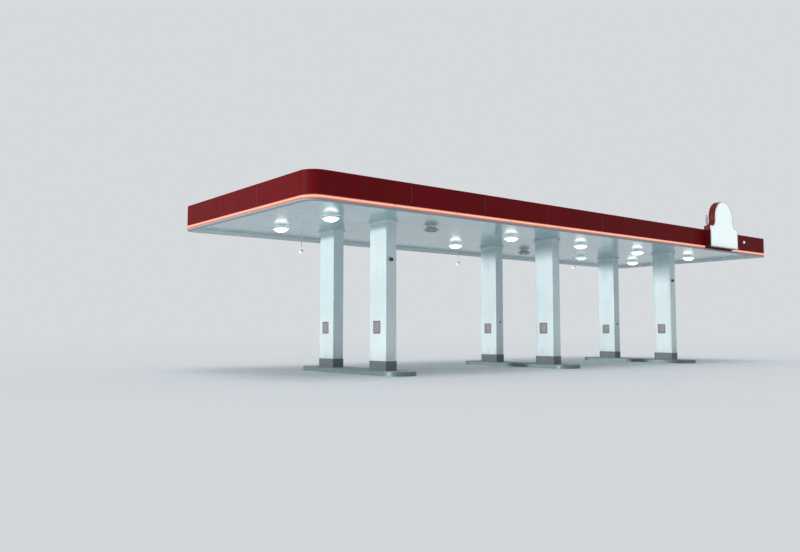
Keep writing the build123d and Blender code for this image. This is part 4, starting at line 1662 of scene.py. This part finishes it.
@dataclass
class Luminaires:
    """Square luminaires under the deck: tray, hinged door, dropped prismatic lens and a gear box above."""

    plan: Plan
    offset_x: float = 1.96
    offset_y: float = 1.47
    tray_half: float = 0.240
    tray_neck_half: float = 0.106
    tray_foot_half: float = 0.130
    tray_corner: float = 0.034
    tray_height: float = 0.045
    hinge_shift: float = 0.07
    hinge_half_width: float = 0.014
    hinge_half_depth: float = 0.005
    lens_top_half: float = 0.104
    lens_half: float = 0.200
    lens_foot_half: float = 0.104
    lens_corner: float = 0.018
    lens_rim: float = 0.056
    lens_drop: float = 0.150
    lens_levels: int = 8
    rib_pitch: float = 0.005
    rib_depth: float = 0.0016
    flute_depth: float = 0.0022
    prism_pitch: float = 0.012
    door_sheet: float = 0.007
    screw: Head = Head(Fastener.PAN_SCREW, 0.010, 0.004)
    flutes: int = 48
    lens_points: int = 192
    tray_points: int = 96
    box_size: Point = (0.24, 0.30, 0.055)
    box_foot: float = 0.0033
    lid_lap: float = 0.006
    box_shift_in_pans: float = 4.5
    dark_places: tuple[int, ...] = (2, 7)
    dim_places: tuple[int, ...] = (9,)

    def places(self, offset_x: float) -> list[Point]:
        """Return four places round each island, at an offset along X from its line."""
        return [(x + a * offset_x, b * self.offset_y, self.plan.deck)
                for x in self.plan.island_xs for a, b in CORNERS]

    def build(self) -> None:
        """Build one luminaire and set it at the twelve places."""
        places, slot = self.places(self.offset_x), "housing_sheet"
        repeat("luminaire_trays", self.tray(), places, TRAY_WHITE, slot, "luminaire_housings")
        repeat("luminaire_doors", self.door(), places, DOOR_ALUMINIUM, slot)
        for state in LampState:
            chosen = [place for i, place in enumerate(places) if self.state(i) is state]
            name, (strength, colour, edge) = state.name.lower(), state.value
            glass = LitGlass(f"lens_{name}", colour, edge=edge, strength=strength)
            repeat(f"luminaire_lenses_{name}", self.lens(), chosen, glass, "lens_glass", "luminaire_lenses")
        fasten("luminaire_screws", self.screw, self.screws(places), STAINLESS, slot)
        boxes = self.places(self.box_shift_in_pans * self.plan.pan_pitch)
        repeat("gear_boxes", self.gear_box(), boxes, FRAME_STEEL, slot)

    def state(self, index: int) -> LampState:
        """Tell how a luminaire burns.

        Args:
            index: The number of its place.

        Returns:
            Its state.
        """
        if index in self.dark_places:
            return LampState.DARK
        return LampState.DIM if index in self.dim_places else LampState.LIT

    def rings(self, tiers: Iterable[Flat], corner: float) -> list[list[Point]]:
        """Return a rounded square for each tier, given as its half width and its level."""
        return [[(x, y, z) for x, y in rounded_square(half, corner, self.tray_points)] for half, z in tiers]

    def tray(self) -> Mesh:
        """Build the cast tray: a thin flange on the soffit, a neck and the rim that carries the door.

        Returns:
            The tray, with its top at zero.
        """
        shell = Shell()
        depth = self.tray_height
        half, neck, foot = self.tray_half, self.tray_neck_half, self.tray_foot_half
        tiers = [(half, -0.0003), (half, -0.003), (half - 0.002, -0.0045), (neck + 0.012, -0.006),
                 (neck + 0.004, -0.008), (neck, -0.012), (neck + 0.001, -depth + 0.014),
                 (foot - 0.006, -depth + 0.008), (foot, -depth + 0.005), (foot, -depth + 0.0015),
                 (foot - 0.003, -depth)]
        shell.loft(self.rings(tiers, self.tray_corner))
        return shell.to_mesh("tray")

    def door(self) -> Mesh:
        """Build the door frame round the lens, with two hinges and two latches.

        Returns:
            The door.
        """
        shell = Shell()
        top = -self.tray_height - HAIR
        foot = top - self.door_sheet
        outer, inner = self.tray_foot_half - 0.004, self.lens_top_half + 0.0012
        tiers = [(outer, top), (outer, foot + 0.002), (outer - 0.003, foot), (inner + 0.004, foot),
                 (inner, foot + 0.003), (inner, top)]
        shell.loft(self.rings(tiers, self.tray_corner - 0.006), closed=True)
        width, depth = self.hinge_half_width, self.hinge_half_depth
        for side, end in CORNERS:
            x, y = end * self.hinge_shift, side * (outer - 0.002)
            shell.block((x - width, y - depth, foot - 0.003), (x + width, y + depth, foot + 0.003), 0.0015)
        return shell.to_mesh("door")

    def lens_profile(self) -> Iterator[tuple[float, float, float]]:
        """Yield half width, depth below the tray and depth of the flutes, from the lens's top to its foot."""
        top, half, foot = self.lens_top_half - 0.002, self.lens_half - 0.001, self.lens_foot_half
        rim, drop = self.lens_rim, self.lens_drop
        yield top, 0.0004, 0.0
        for i, depth in enumerate(steps(0.009, rim - 0.008, self.rib_pitch)):
            yield top + (half - top) * depth / rim - (self.rib_depth if i % 2 else 0.0), depth, 0.0
        yield half - 0.003, rim - 0.004, 0.0
        yield half, rim - 0.001, 0.0
        edge = half - 0.002
        for i in range(self.lens_levels + 1):
            share = i / self.lens_levels
            yield (edge - (edge - foot) * share, rim + (drop - rim - 0.010) * share,
                   self.flute_depth * sin(pi * share))
        yield foot - 0.008, drop - 0.003, 0.0
        for i, half in enumerate(steps(foot - 0.014, 0.030, self.prism_pitch)):
            yield half, drop - (0.002 if i % 2 else 0.0005), 0.0

    def lens(self) -> Mesh:
        """Build the lens: ribbed shoulders, fluted slopes and rings of prisms on its flat foot.

        Returns:
            The lens.
        """
        shell = Shell()
        shell.loft([self.lens_ring(half, -self.tray_height - depth, flute)
                    for half, depth, flute in self.lens_profile()])
        shell.light(-self.tray_height - 0.04, -self.tray_height - self.lens_drop + 0.03)
        return shell.to_mesh("lens", smooth=50.0)

    def lens_ring(self, half: float, z: float, flute: float) -> list[Point]:
        """Draw one ring of the lens.

        Args:
            half: Its half width.
            z: Its level.
            flute: The depth of its flutes.

        Returns:
            Its points.
        """
        corner = self.lens_corner * half / self.lens_half
        points = []
        for i, (x, y) in enumerate(rounded_square(half, corner, self.lens_points)):
            wave = 1 + cos(tau * self.flutes * i / self.lens_points)
            pull = 1 - flute * wave / hypot(x, y)
            points.append((x * pull, y * pull, z))
        return points

    def screws(self, places: Sequence[Point]) -> Iterator[Seat]:
        """Place the corner screws of each door.

        Args:
            places: Where the luminaires hang.

        Yields:
            Their seats.
        """
        half = (self.tray_foot_half + self.lens_top_half) / 2 - 0.004
        for (x, y, z), (a, b) in product(places, CORNERS):
            yield Seat((x + a * half, y + b * half, z - self.tray_height - self.door_sheet), DOWN)

    def gear_box(self) -> Mesh:
        """Build the lamp's gear box with its lid, which stands on the pan above the luminaire.

        Returns:
            The box.
        """
        shell = Shell()
        half_x, half_y, height = self.box_size[0] / 2, self.box_size[1] / 2, self.box_size[2]
        lid_x, lid_y = half_x + self.lid_lap, half_y + self.lid_lap
        foot, top = self.box_foot, self.box_foot + height
        shell.block((-half_x, -half_y, foot), (half_x, half_y, top), 0.003)
        shell.block((-lid_x, -lid_y, top - 0.012), (lid_x, lid_y, top + 0.002), 0.003)
        for side in SIDES:
            shell.turn([(0.011, 0.0), (0.011, 0.012), (0.014, 0.013), (0.014, 0.019), (0.009, 0.021)],
                       (0.0, side * half_y, foot + height / 2), (0.0, side, 0.0), 12)
        return shell.to_mesh("gear_box")


@dataclass
class Pendants:
    """Dome housings on stems under the back of the deck, with a painted glow on the domes."""

    plan: Plan
    drops: Row = (0.6, 0.6, 0.35)
    flange_radius: float = 0.06
    stem_radius: float = 0.0195
    dome_radius: float = 0.095
    neck: float = 0.06
    screw: Head = Head(Fastener.PAN_SCREW, 0.010, 0.004)
    screw_circle: float = 0.044
    screw_angles: Row = (30.0, 150.0, 270.0)
    sides: int = 40

    def build(self) -> None:
        """Build the three pendants."""
        low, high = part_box("dome_pendants")
        y, deck = (low.y + high.y) / 2, self.plan.deck
        housings, domes, seats = Shell(), Shell(), []
        for x, drop in zip(self.plan.island_xs, self.drops):
            housings.turn(self.housing_profile(drop), (x, y, deck), DOWN, self.sides)
            domes.turn(self.dome_profile(), (x, y, deck - drop), DOWN, self.sides)
            seats += [Seat((x + self.screw_circle * cos(a), y + self.screw_circle * sin(a),
                            deck - 0.0075), DOWN) for a in map(radians, self.screw_angles)]
        housings.deliver("pendant_housings", DOME_WHITE, "pendant_plastic", "dome_pendants")
        # painted light: the domes are no lamps; their glow keeps them white where they hang in shade
        opal = LitGlass("dome_opal", (0.88, 0.93, 0.94), edge=(0.80, 0.87, 0.88), strength=0.35, ribs=20.0)
        domes.deliver("pendant_domes", opal, "pendant_plastic")
        fasten("pendant_screws", self.screw, seats, STAINLESS, "pendant_plastic")

    def housing_profile(self, drop: float) -> list[Flat]:
        """Draw the flange, the stem with its couplings and the cap to its rim.

        Args:
            drop: How far the pendant hangs down.

        Returns:
            Radius and depth at each step.
        """
        r, stem, flange = self.dome_radius, self.stem_radius, self.flange_radius
        cap = drop - r - self.neck / 2
        rim = cap + self.neck
        turns = [pi / 2 * i / 6 for i in range(7)]
        return [(flange, 0.0003), (flange, 0.005), (flange - 0.003, 0.008), (0.030, 0.010),
                (0.026, 0.014), (0.026, 0.034), (0.0225, 0.038), (stem, 0.039),
                (stem, cap - 0.034), (0.022, cap - 0.033), (0.025, cap - 0.030), (0.025, cap - 0.004),
                (0.028, cap + 0.002),
                *((0.030 + (r - 0.034) * sin(turn),
                   cap + 0.004 + (self.neck - 0.018) * (1 - cos(turn))) for turn in turns),
                (r - 0.003, rim - 0.010), (r, rim - 0.008), (r, rim - 0.001), (r - 0.003, rim + 0.001),
                (r - 0.010, rim + 0.001)]

    def dome_profile(self) -> list[Flat]:
        """Draw the dome below its rim.

        Returns:
            Radius and depth at each step, from the drop level.
        """
        r = self.dome_radius
        start, inner = -r + self.neck / 2 + 0.0013, r - 0.006
        arc = [pi / 2 * i / 12 for i in range(12)]
        return [(inner, start), *((inner * cos(a), start + 0.003 + (r - 0.004) * sin(a)) for a in arc),
                (0.004, start + r - 0.001)]


@dataclass
class Sign:
    """The arched cabinet: retainer frame, bare lit face, service hatch and its stand."""

    plan: Plan
    side_height: float = 0.84
    cove: float = 0.26
    arch_radius: float = 0.675
    height: float = 1.90
    retainer_width: float = 0.040
    face_sheet: float = 0.020
    screw: Head = Head(Fastener.PAN_SCREW, 0.011, 0.0028)
    screw_pitch: float = 0.24
    hatch_level: float = 1.22
    hatch_half: Flat = (0.26, 0.20)
    hatch_sheet: float = 0.004
    hatch_screw: Head = Head(Fastener.PAN_SCREW, 0.012, 0.004)
    arm_levels: Row = (0.16, 0.56)
    arm_tube: float = 0.06
    cleat_half: float = 0.055
    cleat_inner: float = 0.031
    cleat_sheet: float = 0.006
    stand_bolt: Head = Head(Fastener.HEX_BOLT, 0.020, 0.010)

    def build(self) -> None:
        """Dress the cabinet and stand and build the face."""
        paint(CABINET_RED, "sign_cabinet")
        paint(STAND_STEEL, "sign_stand")
        low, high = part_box("sign_cabinet")
        self.centre = (low.x + high.x) / 2
        self.half_width = (high.x - low.x) / 2
        self.foot, self.front, self.back = low.z, low.y, high.y
        self.retainer()
        self.face()
        self.hatch()
        self.stand_bolts()

    def outline(self, inset: float, y: float) -> list[Point]:
        """Draw the cabinet's outline.

        Args:
            inset: How far it is moved in.
            y: Where it stands from front to back.

        Returns:
            Its points.
        """
        half, side = self.half_width - inset, self.side_height - inset
        radius, cove = self.arch_radius - inset, self.cove + inset
        spring = self.height - self.arch_radius
        cove_x, cove_z = self.arch_radius + self.cove, self.side_height + self.cove
        right = [(half, inset), (half, side)]
        for angle in (radians(270 - 90 * i / 8) for i in range(9)):
            right.append((cove_x + cove * cos(angle), cove_z + cove * sin(angle)))
        for angle in (radians(90 * i / 24) for i in range(25)):
            right.append((radius * cos(angle), spring + radius * sin(angle)))
        left = [(-x, z) for x, z in reversed(right[:-1])]
        return [(self.centre + x, y, self.foot + z) for x, z in right + left]

    def retainer(self) -> None:
        """Build the frame that holds the face, and its screws."""
        shell = Shell()
        width, root = self.retainer_width, self.front - HAIR
        front = self.front - self.face_sheet + self.screw.height + HAIR
        tiers = [(0.0, root), (0.0, front + 0.004), (0.0012, front + 0.0012), (0.004, front),
                 (width - 0.002, front), (width, front + 0.002), (width, root)]
        shell.loft([self.outline(inset, y) for inset, y in tiers], closed=True)
        shell.deliver("sign_retainer", RETAINER_WHITE, "cabinet_sheet", "sign_face")
        path = [Vector(point) for point in self.outline(width / 2, front)]
        seats, since = [], 0.0
        for a, b in zip(path, path[1:] + path[:1]):
            length = (b - a).length
            while since < length:
                seats.append(Seat(tuple(a.lerp(b, since / length)), FRONT))
                since += self.screw_pitch
            since -= length
        fasten("sign_screws", self.screw, seats, STAINLESS, "cabinet_sheet")

    def face(self) -> None:
        """Build the opal face, pan-formed out from its edge."""
        shell = Shell()
        edge, root = self.retainer_width + 0.0005, self.front
        front = root - self.face_sheet
        tiers = [(0.0, root - 0.0004), (0.0, root - 0.004), (0.030, root - 0.0045), (0.038, root - 0.007),
                 (0.048, front + 0.0065), (0.060, front + 0.0045), (0.110, front + 0.0042)]
        shell.loft([self.outline(edge + inset, y) for inset, y in tiers])
        opal = LitFace("sign_opal", (0.86, 0.96, 0.97), centre=self.centre, foot=self.foot)
        shell.deliver("sign_panel", opal, "sign_lens", "sign_face")

    def hatch(self) -> None:
        """Put a service hatch on the cabinet's back, with its hinge and screws."""
        shell = Shell()
        level, sheet = self.foot + self.hatch_level, self.hatch_sheet
        half_x, half_z = self.hatch_half
        shell.pad((self.centre, self.back, level), BACK, rounded_rectangle(half_x, half_z, 0.02),
                  ((HAIR, 1.0), (sheet - 0.001, 1.0), (sheet, 0.99)))
        pin = (self.centre - half_x - 0.004, self.back + 0.007, level)
        shell.turn([(0.006, -0.18), (0.006, 0.18)], pin, UP, 10)
        places = [*product((-0.12, 0.04, 0.2), (-0.175, 0.175)), (0.235, -0.09), (0.235, 0.09)]
        seats = [Seat((self.centre + a, self.back + sheet, level + b), BACK) for a, b in places]
        shell.deliver("sign_hatch", CABINET_RED, "cabinet_sheet")
        fasten("sign_hatch_screws", self.hatch_screw, seats, STAINLESS, "cabinet_sheet")

    def stand_bolts(self) -> None:
        """Bolt the arms to the cabinet's back and the tubes to the edge channel."""
        low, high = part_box("sign_stand")
        half_tube, half, inner = self.arm_tube / 2, self.cleat_half, self.cleat_inner
        root, face = self.back + HAIR, self.back + self.cleat_sheet
        seats, shell = [], Shell()
        for side in SIDES:
            x = self.centre + side * ((high.x - low.x) / 2 - half_tube)
            for z in (self.plan.fascia_top + level + half_tube for level in self.arm_levels):
                shell.block((x - half, root, z - half), (x + half, face, z - inner), 0.001)
                shell.block((x - half, root, z + inner), (x + half, face, z + half), 0.001)
                seats += [Seat((x + a * 0.038, face, z + b * 0.043), BACK) for a, b in CORNERS]
                seats.append(Seat.facing_x((x + side * half_tube, high.y - half_tube, z), side))
            shell.turn([(0.004, 0.0), (0.010, 0.001), (0.010, 0.004), (0.004, 0.005)],
                       (x, high.y - half_tube, high.z - 0.0055), UP, 12)
        shell.deliver("sign_arm_cleats", STAND_STEEL, "stand_steel")
        fasten("sign_stand_bolts", self.stand_bolt, seats, ZINC, "stand_steel")


@dataclass
class FasciaLamp:
    """A small round bulkhead lamp beside the sign."""

    plan: Plan
    sides: int = 40
    rib_depth: float = 0.0009
    screw: Head = Head(Fastener.PAN_SCREW, 0.007, 0.003)
    screw_angles: Row = (90.0, 210.0, 330.0)

    def build(self) -> None:
        """Turn the base, the bezel and the ribbed lens."""
        low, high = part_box("fascia_lamp")
        middle = (low + high) / 2
        r, depth = (high.z - low.z) / 2, high.y - low.y
        face = (middle.x, high.y, middle.z)
        base, lens = Shell(), Shell()
        base.turn([(r, HAIR), (r, 0.006), (r - 0.003, 0.008), (r - 0.007, 0.009), (r - 0.009, 0.016),
                   (r - 0.011, 0.020), (r - 0.018, 0.020), (r - 0.020, 0.016)], face, FRONT, self.sides)
        profile = [(r - 0.021, 0.0165), (r - 0.021, 0.020)]
        for i in range(13):
            turn = pi / 2 * i / 12
            rib = self.rib_depth if i % 2 else 0.0
            profile.append(((r - 0.022) * cos(turn) ** 0.8 + 0.002 + rib,
                            0.021 + (depth - 0.022 + rib) * sin(turn)))
        lens.turn(profile, face, FRONT, self.sides)
        circle = r - 0.006
        seats = [Seat((middle.x + circle * cos(a), high.y - 0.0085, middle.z + circle * sin(a)),
                      FRONT) for a in map(radians, self.screw_angles)]
        base.deliver("lamp_base", TRAY_WHITE, "lamp_glass", "fascia_lamp")
        glass = LitGlass("lamp_glow", (1.0, 1.0, 0.97), edge=(0.8, 0.88, 0.88), strength=0.5, ribs=60.0)
        lens.deliver("lamp_lens", glass, "lamp_glass")
        fasten("lamp_screws", self.screw, seats, STAINLESS, "lamp_glass")


@dataclass
class Studio:
    """A pale floor and backdrop, soft light and the camera at the photographed angle."""

    backdrop: Colour = (0.68, 0.70, 0.715)
    floor_colour: Colour = (0.81, 0.825, 0.84)
    sky: Colour = (0.93, 0.97, 1.0)
    sky_strength: float = 0.58
    floor_half: float = 260.0
    fade: Flat = (26.0, 110.0)
    camera_place: Point = (-21.88, -20.12, 1.29)
    camera_pitch: float = 4.26
    camera_yaw: float = -38.49
    focal_pixels: float = 757.9
    photo_width: int = 800
    lamps: tuple[tuple[str, Point, float, float, Colour], ...] = (
        ("key", (0.0, -87.8, -14.5), 2.0, 3.0, (1.0, 0.99, 0.97)),
        ("top", (0.0, -18.0, 60.0), 0.8, 40.0, (0.96, 0.98, 1.0)),
    )

    def build(self) -> None:
        """Build the studio and set the camera."""
        self.floor()
        self.world()
        for name, degrees, energy, softness, colour in self.lamps:
            self.lamp(name, degrees, energy, softness, colour)
        self.camera()
        bpy.context.scene.view_settings.view_transform = "Standard"

    def floor(self) -> None:
        """Lay the floor, which fades into the backdrop far away."""
        half = self.floor_half
        mesh = bpy.data.meshes.new("floor")
        mesh.from_pydata([(-half, -half, 0), (half, -half, 0), (half, half, 0), (-half, half, 0)], [],
                         [(0, 1, 2, 3)])
        material = bpy.data.materials.new("studio_floor")
        material.use_nodes = True
        tree = Shading(material.node_tree)
        grain = tree.mix(tree.ramp(tree.noise(0.35, detail=5.0), 0.3, 0.7), self.floor_colour,
                         tuple(part * 1.01 for part in self.floor_colour))
        matt = tree.add("ShaderNodeBsdfDiffuse", {"Color": grain})
        away = tree.vector("LENGTH", tree.place()).outputs["Value"]
        glow = tree.add("ShaderNodeEmission", {"Color": self.backdrop, "Strength": 1.0})
        seen = tree.math("MULTIPLY", tree.ramp(away, *self.fade), self.seen_rays(tree))
        mixed = tree.add("ShaderNodeMixShader", {0: seen, 1: matt.outputs[0], 2: glow.outputs[0]})
        tree.add("ShaderNodeOutputMaterial", {"Surface": mixed.outputs[0]})
        mesh.materials.append(material)
        floor = in_scene("studio_floor", mesh)

    def seen_rays(self, tree: Shading) -> Socket:
        """Tell which rays show the backdrop.

        Args:
            tree: The tree to add to.

        Returns:
            1 for camera, glossy and transmission rays, or else 0.
        """
        path = tree.add("ShaderNodeLightPath").outputs
        shown = tree.math("MAXIMUM", path["Is Camera Ray"], path["Is Glossy Ray"])
        return tree.math("MAXIMUM", shown, path["Is Transmission Ray"])

    def world(self) -> None:
        """Light the scene evenly from all sides, and show the backdrop's colour."""
        world = bpy.data.worlds.new("studio")
        world.use_nodes = True
        bpy.context.scene.world = world
        tree = Shading(world.node_tree)
        light = tree.add("ShaderNodeBackground", {"Color": self.sky, "Strength": self.sky_strength})
        shown = tree.add("ShaderNodeBackground", {"Color": self.backdrop, "Strength": 1.0})
        mixed = tree.add("ShaderNodeMixShader", {0: self.seen_rays(tree), 1: light.outputs[0],
                                                 2: shown.outputs[0]})
        tree.add("ShaderNodeOutputWorld", {"Surface": mixed.outputs[0]})

    def lamp(self, name: str, degrees: Point, energy: float, softness: float, colour: Colour) -> None:
        """Add one soft far lamp.

        Args:
            name: The lamp's name.
            degrees: Its turns about X, Y and Z.
            energy: Its strength.
            softness: The angle that it fills, in degrees.
            colour: Its colour.
        """
        data = bpy.data.lights.new(name, "SUN")
        data.energy, data.angle, data.color = energy, radians(softness), colour
        in_scene(name, data).rotation_euler = tuple(radians(part) for part in degrees)

    def camera(self) -> None:
        """Set the camera where the photograph was taken from."""
        data = bpy.data.cameras.new("camera")
        data.sensor_width = 36.0
        data.lens = self.focal_pixels / self.photo_width * data.sensor_width
        data.clip_end = 1000.0
        camera = in_scene("camera", data)
        camera.location = self.camera_place
        camera.rotation_euler = (radians(90 + self.camera_pitch), 0.0, radians(self.camera_yaw))
        bpy.context.scene.camera = camera


def main() -> None:
    """Build the studio and every sub-assembly."""
    logging.basicConfig(level=logging.INFO, format="%(name)s %(message)s")
    Studio().build()
    plan = Plan.from_frame()
    for part in (Islands, Columns, Steelwork, Deck, Fascia, LightBand, Luminaires, Pendants, Sign,
                 FasciaLamp):
        log.info("building %s", part.__name__)
        part(plan).build()


if __name__ == "__main__":
    main()
